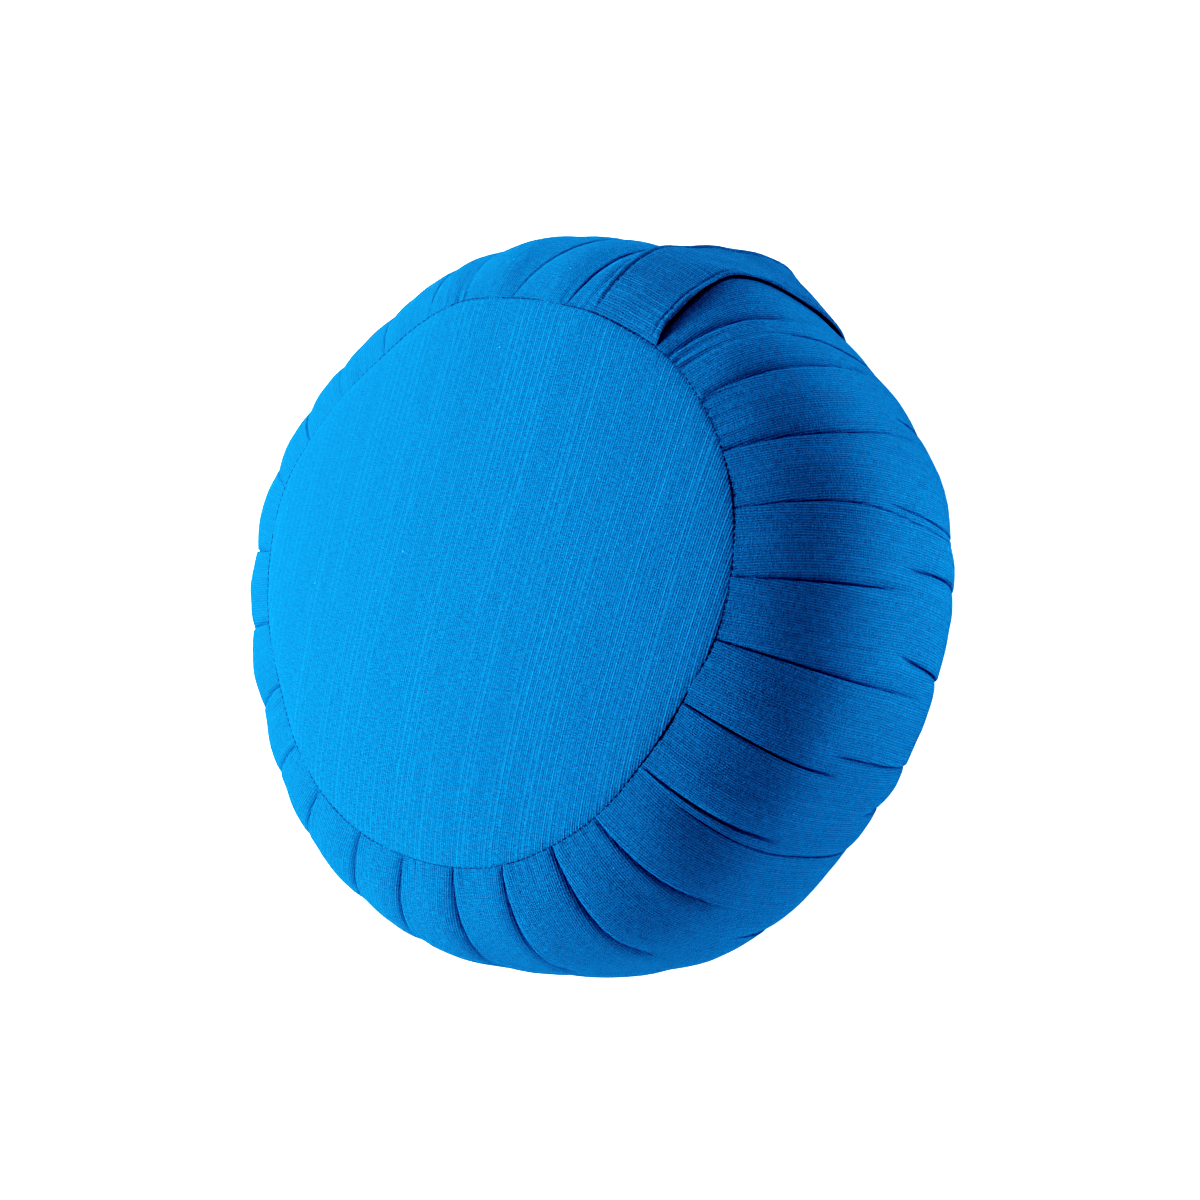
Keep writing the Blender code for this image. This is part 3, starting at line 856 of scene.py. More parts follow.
@dataclass(frozen=True)
class PleatedSide:
    """The side band with the filling that it holds, laid in knife pleats at both seams.

    Every crease is eleven columns of the mesh wide. Beside and under it the cloth turns over a rounded
    lapping edge, goes back under it and comes out again on a soft slope. These offsets are for a crease of
    full depth. Widths, depths and heights are in millimetres.
    """

    form: CushionForm
    rows: int = 104
    row_crowding: float = 0.55
    full_depth: float = 2.4
    lap_near: Numbers = (0.3, 0.8, 2.0)
    soft_near: Numbers = (0.35, 0.75, 1.5)
    outer_parts: Numbers = (0.4, 0.8)
    even_steps: float = 5.5
    needed_room: float = 4.5
    tight_rise: float = 0.4
    even_from: float = 0.45
    even_over: float = 0.35
    even_before_end: float = 0.02
    fold_across: Numbers = (0.0, 0.0, 0.20, 0.45, 0.60, 0.30, -0.70, -0.20, -0.25, 0.0, 0.0)
    fold_up: Numbers = (0.0, 0.12, 0.32, 0.45, 0.15, -0.9, -2.4, -2.8, -0.6, -0.2, 0.0)
    path_shares: Numbers = (0.0, 0.3, 0.6)
    path_softness: float = 0.075
    path_step: float = 0.005
    path_past: float = 0.4
    at_seam: float = 0.12
    opens_by: float = 0.025
    flat_from: float = 0.26
    flat_by: float = 0.56
    at_belly: float = 0.4
    deepest: float = 0.6
    fade: float = 0.16
    puff: float = 1.3
    puff_rise: float = 0.13
    puff_reach: float = 0.62
    dimple: float = 0.8
    dimple_before_end: float = 0.10
    dimple_length: float = 0.07
    dimple_width: float = 4.0
    wide_ripple: Ripple = Ripple(seed=11, waves=14, fewest=5, most=26, across=1.6, height=0.30)
    fine_ripple: Ripple = Ripple(seed=12, waves=14, fewest=28, most=80, across=1.2, height=0.10)
    seam_clear: float = 1.5
    groove: float = 0.04
    groove_width: float = 0.4
    puckers: Ripple = Ripple(seed=13, waves=9, fewest=90, most=190, across=0.4, height=0.22)
    pucker_reach: float = 9.0
    gathers: Ripple = Ripple(seed=14, waves=10, fewest=110, most=210, across=0.3, height=0.55)
    gathers_at: float = -24.0
    gathers_over: float = 17.0
    gathers_reach: float = 16.0
    swell: float = 3.9
    swell_at: float = -4.5
    swell_over: float = 5.0
    swell_shares: tuple[float, float, float] = (0.13, 0.28, 0.76)
    smooth_under_strap: float = 9.9
    rough_beside_strap: float = 12.0
    relief_under_strap: float = 0.25
    crown_rings: Numbers = (0.96, 0.78, 0.5, 0.22)
    crown_sink: float = 0.0012
    fill: float = 0.9

    @cached_property
    def shares(self) -> Array:
        """The mesh rows' shares, a little closer together near the seams."""
        even = np.linspace(0.0, 1.0, self.rows + 1)
        return even + (0.5 - 0.5 * np.cos(math.pi * even) - even) * self.row_crowding

    @property
    def seams(self) -> tuple[tuple[tuple[Fold, ...], Array], ...]:
        """Each seam's folds and the rows' shares from that seam."""
        return (UPPER_FOLDS, self.shares), (LOWER_FOLDS, 1.0 - self.shares)

    def path(self, fold: Fold, from_seam: Array) -> Array:
        """A fold's angle along a smooth line.

        Args:
            fold: the fold.
            from_seam: shares of the side's width from its own seam.

        Returns:
            Angles in degrees.
        """
        past = self.path_past
        fine = np.arange(-past, 1.0 + past + self.path_step, self.path_step)
        slope = (fold.third - fold.seam) / self.path_shares[1]
        angles = (fold.seam - past * slope, fold.seam, fold.third, fold.far, fold.far)
        straight = np.interp(fine, (-past,) + self.path_shares + (1.0 + past,), angles)
        reach = int(round(3.0 * self.path_softness / self.path_step))
        weights = np.exp(-0.5 * (np.arange(-reach, reach + 1) * self.path_step / self.path_softness) ** 2)
        return np.interp(from_seam, fine, np.convolve(straight, weights / weights.sum(), mode="same"))

    def paths(self, folds: tuple[Fold, ...], from_seam: Array) -> Array:
        """The angles of one seam's folds, by row and by fold."""
        return np.stack([self.path(fold, from_seam) for fold in folds], axis=1)

    def strength(self, fold: Fold, from_seam: Array) -> Array:
        """How deep a fold is along its line.

        Args:
            fold: the fold.
            from_seam: shares of the side's width from its own seam.

        Returns:
            Parts of the full depth.
        """
        opening = self.at_seam + (fold.opening - self.at_seam) * smooth_step(from_seam, 0.0, self.opens_by)
        opening += (1.0 - fold.opening) * smooth_step(from_seam, 0.0, self.deepest * fold.reach)
        closing = 1.0 - smooth_step(from_seam, fold.reach - self.fade, fold.reach)
        closing *= 1.0 - (1.0 - self.at_belly) * smooth_step(from_seam, self.flat_from, self.flat_by)
        return opening * closing * fold.depth / self.full_depth

    def flank(self, room: Array, near: Numbers, spread: Array) -> Array:
        """Distances of one side's five columns from a crease.

        Args:
            room: the distance to the middle between two creases.
            near: the nearest columns' distances where there is room.
            spread: 1 where the crease has faded and the columns lie evenly.

        Returns:
            Distances, with the columns in a new last axis.
        """
        close = np.minimum(1.0, room / self.needed_room)[..., None] * np.array(near)
        rest = room[..., None] - close[..., -1:]
        tight = np.concatenate((close, close[..., -1:] + rest * np.array(self.outer_parts)), axis=-1)
        even = room[..., None] * np.arange(1, tight.shape[-1] + 1) / self.even_steps
        return tight + (even - tight) * spread[..., None]

    def columns(self) -> tuple[Array, Array, Array]:
        """The mesh columns round the cushion, by row and column.

        Returns:
            Flat angles in degrees, folded angles in degrees and the folds' heights in metres.
        """
        from_seams = [from_seam for _, from_seam in self.seams]
        pairs = [pair for folds in zip(UPPER_FOLDS, LOWER_FOLDS) for pair in zip(folds, from_seams)]
        centre = np.stack([self.path(*pair) for pair in pairs], axis=1)
        amp = np.stack([self.strength(*pair) for pair in pairs], axis=1)
        starts = [max(self.even_from, fold.reach - self.even_before_end) for fold, _ in pairs]
        spread = [smooth_step(pair[1], start, start + self.even_over) for pair, start in zip(pairs, starts)]
        lap = np.array([fold.lap for fold, _ in pairs])
        per_degree = (math.radians(1.0) * self.form.on_section(self.shares)[0] / MM)[:, None]
        before = centre - np.roll(centre, 1, axis=1)
        before[:, 0] += FULL_TURN
        after = np.roll(before, -1, axis=1)
        lap_room = np.where(lap > 0, before, after) * per_degree / 2.0
        soft_room = np.where(lap > 0, after, before) * per_degree / 2.0
        lapping = -self.flank(lap_room, self.lap_near, np.stack(spread, axis=1))[..., ::-1]
        soft = self.flank(soft_room, self.soft_near, np.stack(spread, axis=1))
        flat = np.concatenate((lapping, np.zeros_like(lap_room)[..., None], soft), axis=-1)
        tight = np.minimum(1.0, np.minimum(lap_room, soft_room) / self.needed_room)[..., None]
        folded = flat + np.array(self.fold_across) * amp[..., None] * tight
        up = np.array(self.fold_up) * amp[..., None] * (self.tight_rise + (1.0 - self.tight_rise) * tight)
        turned = lap < 0
        flat[:, turned] = -flat[:, turned, ::-1]
        folded[:, turned] = -folded[:, turned, ::-1]
        up[:, turned] = up[:, turned, ::-1]
        flat, folded = (
            (centre[..., None] + part / per_degree[..., None]).reshape(len(centre), -1)
            for part in (flat, folded)
        )
        up = up.reshape(len(centre), -1) * MM
        closing = ((flat, FULL_TURN), (folded, FULL_TURN), (up, 0.0))
        return tuple(np.concatenate((part, part[:, :1] + more), axis=1) for part, more in closing)

    def beside_strap(self, angle: Array) -> Array:
        """0 where the strap presses the side smooth, 1 away from it."""
        return smooth_step(np.abs(angle_off(angle, 0.0)), self.smooth_under_strap, self.rough_beside_strap)

    def between_folds(self, folds: tuple[Fold, ...], angle: Array, from_seam: Array) -> Array:
        """How far across the gap between two folds of one seam each point lies.

        Args:
            folds: the seam's folds.
            angle: angles by row and column.
            from_seam: the rows' shares from that seam.

        Returns:
            0 at a fold and 1 at the next one.
        """
        share = np.empty_like(angle)
        for row, knots in enumerate(self.paths(folds, from_seam)):
            knots = round_again(knots)
            at = knot_before(knots, angle[row])
            share[row] = (angle[row] - knots[at]) / (knots[at + 1] - knots[at])
        return share

    def filling_relief(self, angle: Array) -> Array:
        """What the filling and the far ends of the folds add to the side, outward.

        Args:
            angle: the columns' angles by row.

        Returns:
            Heights in millimetres.
        """
        total = np.zeros_like(angle)
        radius = self.form.on_section(self.shares)[0][:, None]
        for folds, from_seam in self.seams:
            near = from_seam[:, None]
            strength = smooth_step(near, 0.0, self.puff_rise)
            strength = strength * (1.0 - smooth_step(near, self.puff_rise, self.puff_reach))
            across = self.between_folds(folds, angle, from_seam)
            total += self.puff * strength * (1.0 - (2.0 * across - 1.0) ** 2)
            for fold in folds:
                off = np.radians(angle_off(angle, self.path(fold, from_seam)[:, None])) * radius / MM
                end = hump(near - fold.reach + self.dimple_before_end, self.dimple_length)
                total -= self.dimple * fold.depth / self.full_depth * end * hump(off, self.dimple_width)
        share = self.shares[:, None]
        total += self.wide_ripple.at(angle, share)
        total += self.fine_ripple.at(angle, share)
        pressed = self.relief_under_strap
        return total * (pressed + (1.0 - pressed) * self.beside_strap(angle))

    def relief(self, angle: Array) -> Array:
        """What the filling, the seams and the pressed strap add to the side, outward.

        Args:
            angle: the columns' angles by row.

        Returns:
            Heights in metres.
        """
        share = self.shares[:, None]
        total = self.filling_relief(angle)
        width = self.form.side_width / MM
        edge = np.minimum(share, 1.0 - share) * width
        clear = smooth_step(edge, 0.0, self.seam_clear)
        total += self.puckers.at(angle, share) * faded(edge, self.pucker_reach) * clear
        beside = hump(angle_off(angle, self.gathers_at), self.gathers_over)
        drawn_in = faded(share * width, self.gathers_reach) * clear
        total += self.gathers.at(angle, share) * beside * drawn_in
        total -= self.groove * faded(edge, self.groove_width)
        start, full, end = self.swell_shares
        swelling = smooth_step(share, start, full) * (1.0 - smooth_step(share, full, end))
        total += self.swell * swelling * hump(angle_off(angle, self.swell_at), self.swell_over)
        return total * MM

    def cloth_map(self, angle: Array) -> Array:
        """The cloth's own coordinates, whose threads run from seam to seam beside each fold.

        Args:
            angle: the columns' angles by row.

        Returns:
            Coordinates in metres by face row, face column, corner row and corner column.
        """
        radius = self.form.on_section(self.shares)[0]
        middle = int(np.argmin(np.abs(self.shares - 0.5)))
        maps = []
        for folds, from_seam in self.seams:
            paths = self.paths(folds, from_seam)
            paths = np.concatenate((paths[:, -1:] - FULL_TURN, paths, paths[:, :1] + FULL_TURN), axis=1)
            maps.append((paths, (paths[:, 1:] + paths[:, :-1]) / 2.0))
        rows, columns = angle.shape[0] - 1, angle.shape[1] - 1
        cloth = np.empty((rows, columns, 2, 2, 2))
        for row in range(rows):
            paths, between = maps[0] if self.shares[row] < 0.5 else maps[1]
            centre = (angle[row, 1:] + angle[row, :-1] + angle[row + 1, 1:] + angle[row + 1, :-1]) / 4.0
            line = (paths[row] + paths[row + 1]) / 2.0
            cell = knot_before(line, centre)
            start = np.radians(between[middle, cell]) * self.form.belly_radius
            for down in (0, 1):
                for right in (0, 1):
                    off = angle[row + down, right:columns + right] - between[row + down, cell]
                    cloth[row, :, down, right, 0] = start + np.radians(off) * radius[row + down]
                    cloth[row, :, down, right, 1] = self.shares[row + down] * self.form.side_width
        return cloth

    def build(self) -> bpy.types.Object:
        """Builds the side and closes it under both panels.

        Returns:
            The piece.
        """
        flat, folded, up = self.columns()
        share = np.broadcast_to(self.shares[:, None], flat.shape)
        lift = up * self.beside_strap(flat) + self.relief(flat)
        angle = flat + (folded - flat) * self.beside_strap(flat)
        radius, height = self.form.plain_side(flat, share)
        out, outup = self.form.outward(share)
        mesh = lay_grid(placed(angle, radius + out * lift, height + outup * lift), self.cloth_map(flat))
        for seam in Seam:
            self.close(mesh, seam)
        bmesh.ops.recalc_face_normals(mesh, faces=mesh.faces)
        piece = finish_piece(mesh, "side_band", SIDE_COTTON.material(), ("pleated_side",))
        return piece

    def close(self, mesh: bmesh.types.BMesh, seam: Seam) -> None:
        """Closes the side with the filling's crown under one panel.

        Args:
            mesh: the side's mesh.
            seam: which seam is closed.
        """
        upper = seam is Seam.UPPER
        edges = [edge for edge in mesh.edges if edge.is_boundary]
        edges = [edge for edge in edges if (edge.verts[0].co.z > self.form.belly_height) == upper]
        sink = -self.crown_sink if upper else self.crown_sink
        for share_out in self.crown_rings:
            made = bmesh.ops.extrude_edge_only(mesh, edges=edges)["geom"]
            edges = [part for part in made if isinstance(part, bmesh.types.BMEdge)]
            level = float(self.form.crown(seam, np.array(share_out))) + sink
            for corner in (part for part in made if isinstance(part, bmesh.types.BMVert)):
                angle = np.array(math.degrees(math.atan2(corner.co.x, -corner.co.y)))
                corner.co = placed(angle, self.form.seam_round(seam, angle) * share_out, np.array(level))
        inner = list({corner for edge in edges for corner in edge.verts})
        level = float(self.form.crown(seam, np.array(0.0))) + sink
        bmesh.ops.pointmerge(mesh, verts=inner, merge_co=Vector((0.0, 0.0, level)))


@dataclass(frozen=True)
class RoundPanel:
    """A round panel: a thin sheet over the filling's crown, drawn down into the seam at its rim.

    Rings, reaches and the groove are in millimetres.
    """

    form: CushionForm
    seam: Seam
    name: str
    node: str
    columns: int = 348
    thickness: float = 0.0011
    rim_thickness: float = 0.00008
    thins_over: float = 3.0
    gap: float = 0.00035
    rim_gap: float = 0.00002
    gap_over: float = 1.5
    thread_lean: float = 16.4
    thread_bend: float = -0.33
    thread_skew: float = 0.43
    thread_curl: float = 3.0
    ring_gap: float = 0.0042
    rim_from: float = 4.5
    rim_rings: Numbers = (3.2, 2.3, 1.6, 1.05, 0.6, 0.25, 0.0)
    inner_ring_step: int = 4
    groove: float = 0.06
    groove_width: float = 0.4
    puckers: Ripple = Ripple(seed=21, waves=9, fewest=70, most=150, across=0.5, height=0.06)
    pucker_reach: float = 7.0
    seam_clear: float = 1.5
    wide_ripple: Ripple = Ripple(seed=22, waves=8, fewest=2, most=7, across=0.8, height=0.28)

    @cached_property
    def rings(self) -> Array:
        """The rings' shares of the seam's radius, from just off the middle to the rim.

        Returns:
            The shares.
        """
        radius = self.form.seam_radius
        inner = np.arange(self.ring_gap, radius - self.rim_from * MM, self.ring_gap)
        return np.concatenate((inner, radius - np.array(self.rim_rings) * MM)) / radius

    def surface(self, angle: Array, share_out: Array, outer: bool) -> Array:
        """Points of one face of the sheet.

        Args:
            angle: angles in degrees.
            share_out: shares of the seam's radius.
            outer: whether it is the face that shows.

        Returns:
            The points.
        """
        upper = self.seam is Seam.UPPER
        radius = self.form.seam_round(self.seam, angle) * share_out
        from_rim = (1.0 - share_out) * self.form.seam_radius / MM
        thick = self.thickness + (self.rim_thickness - self.thickness) * faded(from_rim, self.thins_over)
        lift = self.gap + (self.rim_gap - self.gap) * faded(from_rim, self.gap_over)
        lift = lift + (thick if outer else 0.0)
        drawn = self.groove * faded(from_rim, self.groove_width) * MM
        uneven = self.puckers.at(angle, share_out) * faded(from_rim, self.pucker_reach)
        free = share_out**2 if upper else smooth_step(share_out, self.form.resting_share, 1.0)
        uneven = uneven * smooth_step(from_rim, 0.0, self.seam_clear)
        uneven = (uneven + self.wide_ripple.at(angle, share_out) * free) * MM
        side = 1.0 if upper else -1.0
        return placed(angle, radius, self.form.crown(self.seam, share_out) + side * (lift - drawn + uneven))

    def build(self) -> bpy.types.Object:
        """Builds the panel.

        Returns:
            The piece.
        """
        profile = np.concatenate(([0.0], self.rings, self.rings[::-self.inner_ring_step][:-1], [0.0]))
        angles = np.linspace(0.0, FULL_TURN, self.columns + 1)
        mesh = lay_grid(np.stack([
            self.surface(angles, np.full_like(angles, share), row <= len(self.rings))
            for row, share in enumerate(profile)
        ]))
        layer = mesh.loops.layers.uv[CLOTH_MAP]
        bmesh.ops.recalc_face_normals(mesh, faces=mesh.faces)
        lean = math.radians(self.thread_lean)
        for loop in (loop for face in mesh.faces for loop in face.loops):
            x, y = loop.vert.co.x, loop.vert.co.y
            along = y * math.cos(lean) - x * math.sin(lean)
            across = x * math.cos(lean) + y * math.sin(lean)
            drift = self.thread_bend * along + self.thread_skew * across + self.thread_curl * along * along
            loop[layer].uv = (across + drift * along, along)
        piece = finish_piece(mesh, self.name, PANEL_COTTON.material(), (self.node,))
        across = 2.0 * self.form.seam_radius
        return piece


@dataclass(frozen=True)
class CarryStrap:
    """The strap handle: a strip folded double, topstitched near both long edges and caught in both seams.

    Its section, stitch line, hem, puckers and ripple are in millimetres.
    """

    form: CushionForm
    width: float = 0.041
    thickness: float = 0.0011
    end_share: float = 0.004
    length_steps: int = 120
    gap: float = 0.0002
    hugging: float = 0.004
    stitch_inset: float = 3.5
    stitch_groove: float = 0.70
    groove_width: float = 0.45
    hem: float = 0.40
    hem_at: float = 1.7
    hem_width: float = 0.9
    puckers: Ripple = Ripple(seed=31, waves=7, fewest=55, most=110, across=0.0, height=0.14)
    pucker_reach: float = 2.2
    wide_ripple: Ripple = Ripple(seed=32, waves=6, fewest=3, most=12, across=0.05, height=0.35)
    ripple_turn: float = 215.0
    end_thickness: float = 0.2
    end_length: float = 0.05
    outer_across: Numbers = (0.0, 3.0, 6.0, 9.0, 12.0, 14.3, 15.8, 16.5, 17.0, 17.5, 18.2, 19.1)
    edge_across: Numbers = (19.9, 20.35, 20.5, 20.35, 19.9)
    edge_lift: Numbers = (0.95, 0.80, 0.50, 0.20, 0.05)
    inner_across: Numbers = (18.0, 13.0, 7.0, 0.0)
    outer_from: float = 0.9

    @cached_property
    def outline(self) -> tuple[Array, Array]:
        """The strap's cross-section as a closed loop.

        Returns:
            Millimetres across, and lift from 0 inside to 1 outside.
        """
        half = [(across, 1.0) for across in self.outer_across] + list(zip(self.edge_across, self.edge_lift))
        half += [(across, 0.0) for across in self.inner_across]
        loop = np.array(half + [(-across, lift) for across, lift in half[-2:0:-1]] + [half[0]])
        return loop[:, 0], loop[:, 1]

    def at(self, across: Array, share: Array, lift: Array) -> Array:
        """Points of the strap.

        Args:
            across: places across its width in metres.
            share: shares of its length.
            lift: heights above its inner face in metres.

        Returns:
            The points.
        """
        knots = column(STRAP_STANDOFF, "share")
        low, high, shift = (
            soft_table(knots, column(STRAP_STANDOFF, name), share) for name in ("low", "high", "shift")
        )
        standoff = self.gap + (low + (high - low) * (across / self.width + 0.5)) * MM
        aside = across + shift * MM
        middle_radius, _ = self.form.plain_side(np.zeros_like(share), share)
        angle = np.degrees(np.arcsin(aside / middle_radius))
        radius, height = self.form.plain_side(angle, share)
        out, up = self.form.outward(share)
        off = standoff + lift
        hugging = placed(angle, radius + out * off, height + up * off)
        flat = np.stack((aside, -(middle_radius + out * off), height + up * off), axis=-1)
        return hugging + (flat - hugging) * smooth_step(standoff, 0.0, self.hugging)[..., None]

    def relief(self, across: Array, share: Array) -> Array:
        """What sewing adds to the outer face: a hem that puffs up outside each sunk line of stitches.

        Args:
            across: places across its width in millimetres.
            share: shares of its length.

        Returns:
            Heights in metres.
        """
        from_line = np.abs(across) - (self.width / MM / 2.0 - self.stitch_inset)
        sunk = -self.stitch_groove * hump(from_line, self.groove_width)
        puffed = self.hem * hump(from_line - self.hem_at, self.hem_width)
        turn = share * self.ripple_turn
        ripple = self.puckers.at(turn, np.zeros_like(share)) * faded(np.abs(from_line), self.pucker_reach)
        return (sunk + puffed + ripple + self.wide_ripple.at(turn, across)) * MM

    def kept(self, share: Array) -> Array:
        """The part of its thickness that the strap keeps where it runs into the seams."""
        risen = smooth_step(np.minimum(share, 1.0 - share), 0.0, self.end_length)
        return self.end_thickness + (1.0 - self.end_thickness) * risen

    def build(self) -> bpy.types.Object:
        """Builds the strap.

        Returns:
            The piece.
        """
        across_mm, lift = self.outline
        share = np.linspace(self.end_share, 1.0 - self.end_share, self.length_steps + 1)
        across = np.broadcast_to(across_mm, (len(share), len(across_mm)))
        shares = np.broadcast_to(share[:, None], across.shape)
        relief = self.relief(across, shares) * (lift > self.outer_from)
        points = self.at(across * MM, shares, lift * (self.thickness + relief) * self.kept(shares))
        round_way = running(np.hypot(np.diff(across_mm) * MM, np.diff(lift) * MM))
        cloth = np.empty((self.length_steps, len(across_mm) - 1, 2, 2, 2))
        for down in (0, 1):
            for right in (0, 1):
                rows = share[down:self.length_steps + down]
                cloth[:, :, down, right, 0] = rows[:, None] * self.form.side_width
                cloth[:, :, down, right, 1] = round_way[right:len(across_mm) - 1 + right]
        mesh = lay_grid(points, cloth)
        bmesh.ops.holes_fill(mesh, edges=[edge for edge in mesh.edges if edge.is_boundary], sides=0)
        bmesh.ops.recalc_face_normals(mesh, faces=mesh.faces)
        # The strap's finish carries painted shade: a darker blue than the rest of the cloth.
        piece = finish_piece(mesh, "strap", SHADED_STRAP_COTTON.material(), ("carry_handle",))
        return piece

    def stitch_line(self, side: float, share: Array) -> Array:
        """Points at shares along the topstitching of one edge: side is -1 for smaller angles, else 1."""
        across = np.full_like(share, side * (self.width / MM / 2.0 - self.stitch_inset))
        return self.at(across * MM, share, (self.thickness + self.relief(across, share)) * self.kept(share))


@dataclass(frozen=True)
class Stitching:
    """Lines of small stitches: each is a slim rounded thread that dips into the cloth at both ends."""

    name: str
    slot: str
    pitch: float = 0.0028
    length: float = 0.0022
    radius: float = 0.00012
    sides: int = 6
    rings: int = 6
    batch: int = 24

    def build(self, lines: list[Array]) -> bpy.types.Object:
        """Sews stitches along lines of points.

        Args:
            lines: points close together along each line.

        Returns:
            The piece.
        """
        places = [place for line in lines for place in self.places(line)]
        mesh = bmesh.new()
        for first in range(0, len(places), self.batch):
            few = bmesh.new()
            for place in places[first:first + self.batch]:
                bmesh.ops.create_uvsphere(
                    few, u_segments=self.sides, v_segments=self.rings, radius=1.0, matrix=place,
                )
            data = bpy.data.meshes.new("few_stitches")
            few.to_mesh(data)
            few.free()
            mesh.from_mesh(data)
            bpy.data.meshes.remove(data)
        # The thread's finish carries painted shade along the seams.
        return finish_piece(mesh, self.name, SEAM_THREAD_SHADE_DARKENED.material())

    def places(self, line: Array) -> list[Matrix]:
        """Where each stitch of one line lies.

        Args:
            line: points close together along the line.

        Returns:
            A placing of a unit ball for each stitch.
        """
        way = running(np.linalg.norm(np.diff(line, axis=0), axis=1))
        count = int(way[-1] / self.pitch)
        size = Matrix.Diagonal((self.radius, self.radius, self.length / 2.0, 1.0))
        made = []
        for number in range(count):
            middle = (number + 0.5) * way[-1] / count
            start, end = (
                Vector([float(np.interp(middle + off, way, line[:, axis])) for axis in range(3)])
                for off in (-self.length / 2.0, self.length / 2.0)
            )
            turn = (end - start).to_track_quat("Z", "Y").to_matrix().to_4x4()
            made.append(Matrix.Translation((start + end) / 2.0) @ turn @ size)
        return made


# ---------------------------------------------------------------------------------------------------------
# Studio and camera


def square_light(name: str, size: float, power: float) -> bpy.types.Object:
    """Puts up a square area light.

    Args:
        name: the light's name.
        size: its side.
        power: its power in watts.

    Returns:
        The light.
    """
    data = bpy.data.lights.new(name, "AREA")
    data.shape = "SQUARE"
    data.size = size
    data.energy = power
    log.info("%s: %.1f W", name, power)
    return put_up(name, data)


@dataclass(frozen=True)
class SoftLight:
    """A soft light, placed round the cushion by azimuth and elevation in degrees and aimed at it."""

    name: str
    azimuth: float
    elevation: float
    distance: float
    size: float
    power: float
    target: Point = (0.0, 0.0, 0.09)

    def build(self) -> None:
        """Hangs the light."""
        way = direction(self.azimuth, self.elevation)
        light = square_light(self.name, self.size, self.power)
        light.location = Vector(self.target) + way * self.distance
        light.rotation_mode = "QUATERNION"
        light.rotation_quaternion = way.to_track_quat("Z", "Y")


@dataclass(frozen=True)
class PaleCard:
    """A weak light on the floor beside the cushion that shines upward, as a pale card would."""

    name: str
    azimuth: float
    power: float
    distance: float = 0.34
    size: float = 0.25
    height: float = 0.004

    def build(self) -> None:
        """Lays the card out of the camera's sight."""
        light = square_light(self.name, self.size, self.power)
        light.location = direction(self.azimuth, 0.0) * self.distance + Vector((0.0, 0.0, self.height))
        light.rotation_euler = (math.pi, 0.0, math.radians(self.azimuth))
        light.visible_camera = False


@dataclass(frozen=True)
class Studio:
    """A pale paper floor, a pale backdrop and soft lights."""

    floor_half: float = 4.0
    floor_cells: int = 8
    floor_sink: float = 0.0002
    floor_finish: PalePaint = PalePaint("pale_floor", (0.86, 0.87, 0.88), 0.86)
    backdrop: Colour = (0.86, 0.87, 0.88)
    red_curve: tuple[tuple[float, float], ...] = (
        (0.0, 0.0), (0.2, 0.2), (0.404, 0.404), (0.7676, 0.923), (0.9979, 1.15),
    )
    other_curve: tuple[tuple[float, float], ...] = (
        (0.0, 0.0), (0.0589, 0.0009), (0.1119, 0.0205), (0.2126, 0.118), (0.404, 0.404), (0.7676, 0.923),
        (0.9979, 1.15),
    )
    lights: tuple[SoftLight | PaleCard, ...] = (
        SoftLight("key_light", 35.0, 65.0, 1.4, 0.573, 17.1),
        SoftLight("second_key", 55.0, 50.0, 1.4, 0.573, 13.7),
        SoftLight("far_fill", 120.0, 20.0, 1.6, 0.9, 6.9),
        SoftLight("handle_fill", -90.0, 25.0, 1.6, 0.9, 8.9),
        SoftLight("low_fill", -30.0, 4.0, 1.6, 0.9, 22.2),
        PaleCard("near_card", -150.0, 0.49),
    )

    def build(self) -> None:
        """Sets the studio up."""
        self.lay_floor()
        self.hang_backdrop()
        for light in self.lights:
            light.build()
        self.set_view()

    def lay_floor(self) -> None:
        """Lays the paper that the cushion lies on."""
        mesh = bmesh.new()
        cells = self.floor_cells
        bmesh.ops.create_grid(mesh, x_segments=cells, y_segments=cells, size=self.floor_half)
        bmesh.ops.translate(mesh, verts=mesh.verts, vec=(0.0, 0.0, -self.floor_sink))
        data = bpy.data.meshes.new("studio_floor")
        mesh.to_mesh(data)
        mesh.free()
        data.materials.append(self.floor_finish.material())
        put_up("studio_floor", data)

    def hang_backdrop(self) -> None:
        """Hangs a pale backdrop, which the camera sees and which sheds no light."""
        world = bpy.data.worlds.new("pale_surrounding")
        world.use_nodes = True
        tree = world.node_tree
        backdrop = tree.nodes["Background"]
        backdrop.inputs["Color"].default_value = self.backdrop + (1.0,)
        seen = tree.nodes.new("ShaderNodeLightPath").outputs["Is Camera Ray"]
        both = tree.nodes.new("ShaderNodeMixShader")
        for source, target in ((seen, both.inputs[0]), (backdrop.outputs[0], both.inputs[2]),
                               (both.outputs[0], tree.nodes["World Output"].inputs[0])):
            tree.links.new(source, target)
        bpy.context.scene.world = world

    def set_view(self) -> None:
        """Sets the photograph's contrast, a curve for each channel."""
        view = bpy.context.scene.view_settings
        view.view_transform = "Standard"
        view.look = "None"
        view.use_curve_mapping = True
        view.curve_mapping.use_clip = False
        for channel, points in enumerate((self.red_curve, self.other_curve, self.other_curve)):
            curve = view.curve_mapping.curves[channel]
            curve.points[0].location, curve.points[-1].location = points[0], points[-1]
            for level, shown in points[1:-1]:
                curve.points.new(level, shown)
        view.curve_mapping.update()


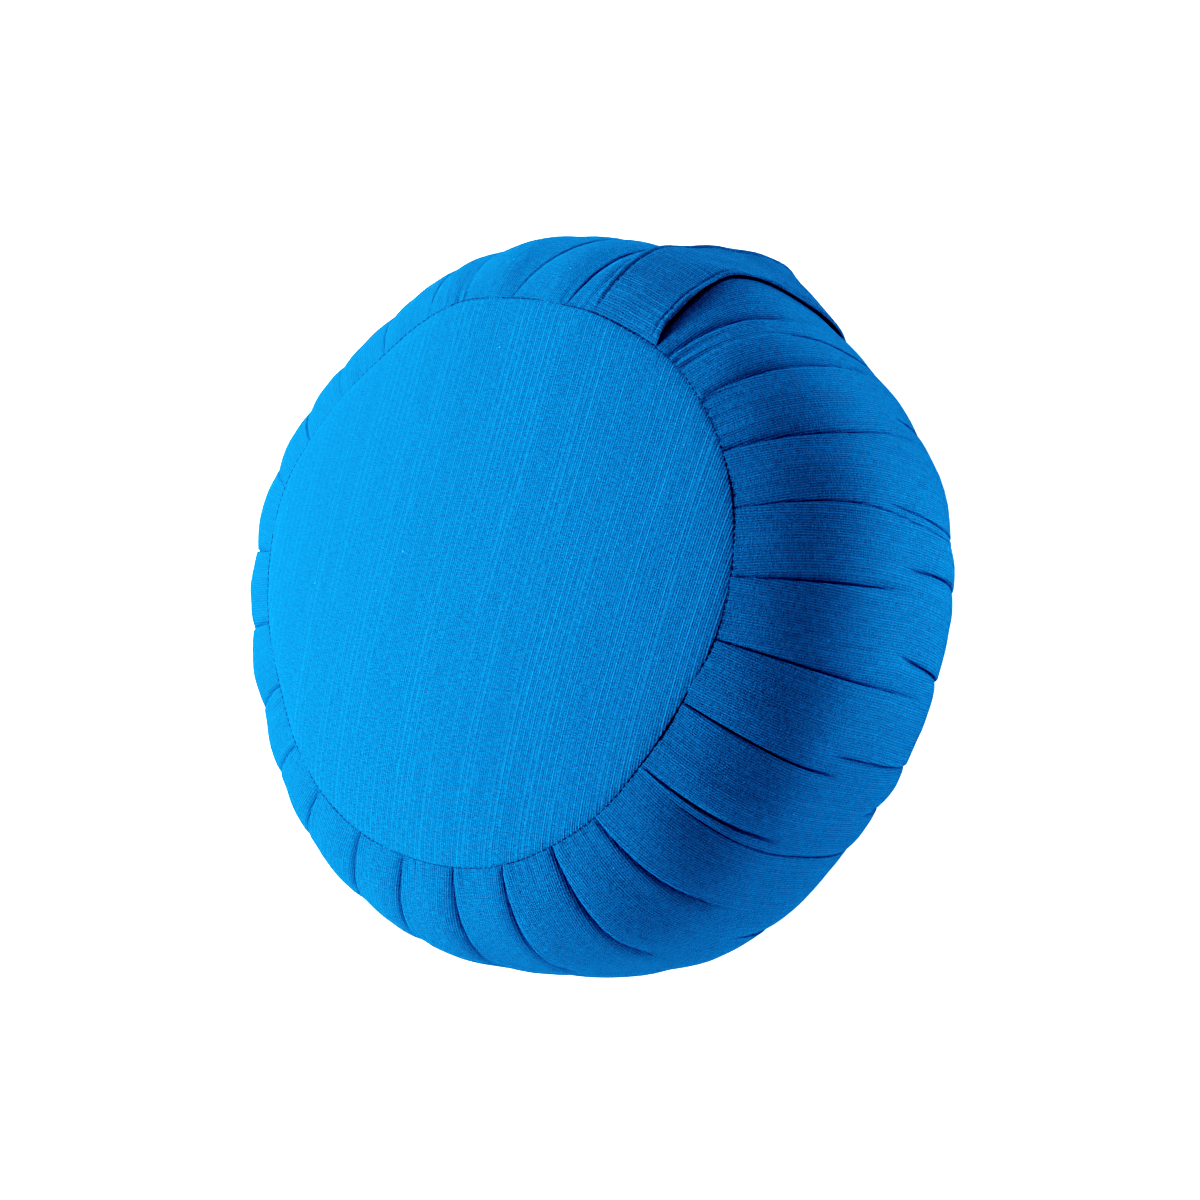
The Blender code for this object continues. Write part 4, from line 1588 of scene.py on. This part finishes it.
@dataclass(frozen=True)
class PhotoCamera:
    """The camera at the photograph's angle to the cushion, rolled as the photograph is."""

    azimuth: float = -165.107
    elevation: float = 52.730
    roll: float = -73.447
    distance: float = 1.77306
    aim: Point = (0.0, 0.0, 0.08456)
    aside: float = 0.00385
    above: float = 0.00266
    lens: float = 119.28
    sensor: float = 36.0
    nearest: float = 0.05
    farthest: float = 30.0

    def build(self) -> bpy.types.Object:
        """Sets the camera up.

        Returns:
            The camera.
        """
        back = direction(self.azimuth, self.elevation)
        level_up = (Vector((0.0, 0.0, 1.0)) - back * back.z).normalized()
        spin = math.radians(self.roll)
        right = level_up.cross(back) * math.cos(spin) + level_up * math.sin(spin)
        up = back.cross(right)
        data = bpy.data.cameras.new("photo_camera")
        data.lens, data.sensor_width = self.lens, self.sensor
        data.clip_start, data.clip_end = self.nearest, self.farthest
        camera = put_up("photo_camera", data)
        place = Vector(self.aim) + back * self.distance + right * self.aside + up * self.above
        camera.matrix_world = Matrix.Translation(place) @ Matrix((right, up, back)).transposed().to_4x4()
        bpy.context.scene.camera = camera
        return camera


@dataclass
class Zafu:
    """The whole cushion: its side with the filling, two round panels, the strap and their stitches."""

    form: CushionForm = field(default_factory=CushionForm)
    seam_rise: float = 0.00016
    seam_out: float = 0.00012
    seam_points: int = 1441
    topstitch_points: int = 500
    topstitch_end: float = 0.02

    def seam_line(self, seam: Seam) -> Array:
        """Points along a seam, just outside the panel's rim.

        Args:
            seam: which seam.

        Returns:
            The points, ending where they start.
        """
        angle = np.linspace(0.0, FULL_TURN, self.seam_points)
        rise = self.seam_rise if seam is Seam.UPPER else -self.seam_rise
        level = self.form.crown(seam, np.array(1.0)) + rise
        return placed(angle, self.form.seam_round(seam, angle) + self.seam_out, np.full_like(angle, level))

    def build(self) -> None:
        """Builds every piece in order."""
        PleatedSide(self.form).build()
        RoundPanel(self.form, Seam.UPPER, "upper_round", "top_panel").build()
        RoundPanel(self.form, Seam.LOWER, "lower_round", "bottom_panel").build()
        strap = CarryStrap(self.form)
        strap.build()
        for seam in Seam:
            Stitching(f"{seam.value}_seam_stitches", "panel_cloth").build([self.seam_line(seam)])
        share = np.linspace(self.topstitch_end, 1.0 - self.topstitch_end, self.topstitch_points)
        lines = [strap.stitch_line(side, share) for side in (-1.0, 1.0)]
        Stitching("strap_topstitches", "handle_cloth").build(lines)


def main() -> None:
    """Builds the cushion, the studio and the camera."""
    logging.basicConfig(level=logging.INFO, format="%(name)s: %(message)s")
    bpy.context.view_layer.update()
    Zafu().build()
    Studio().build()
    PhotoCamera().build()


if __name__ == "__main__":
    main()
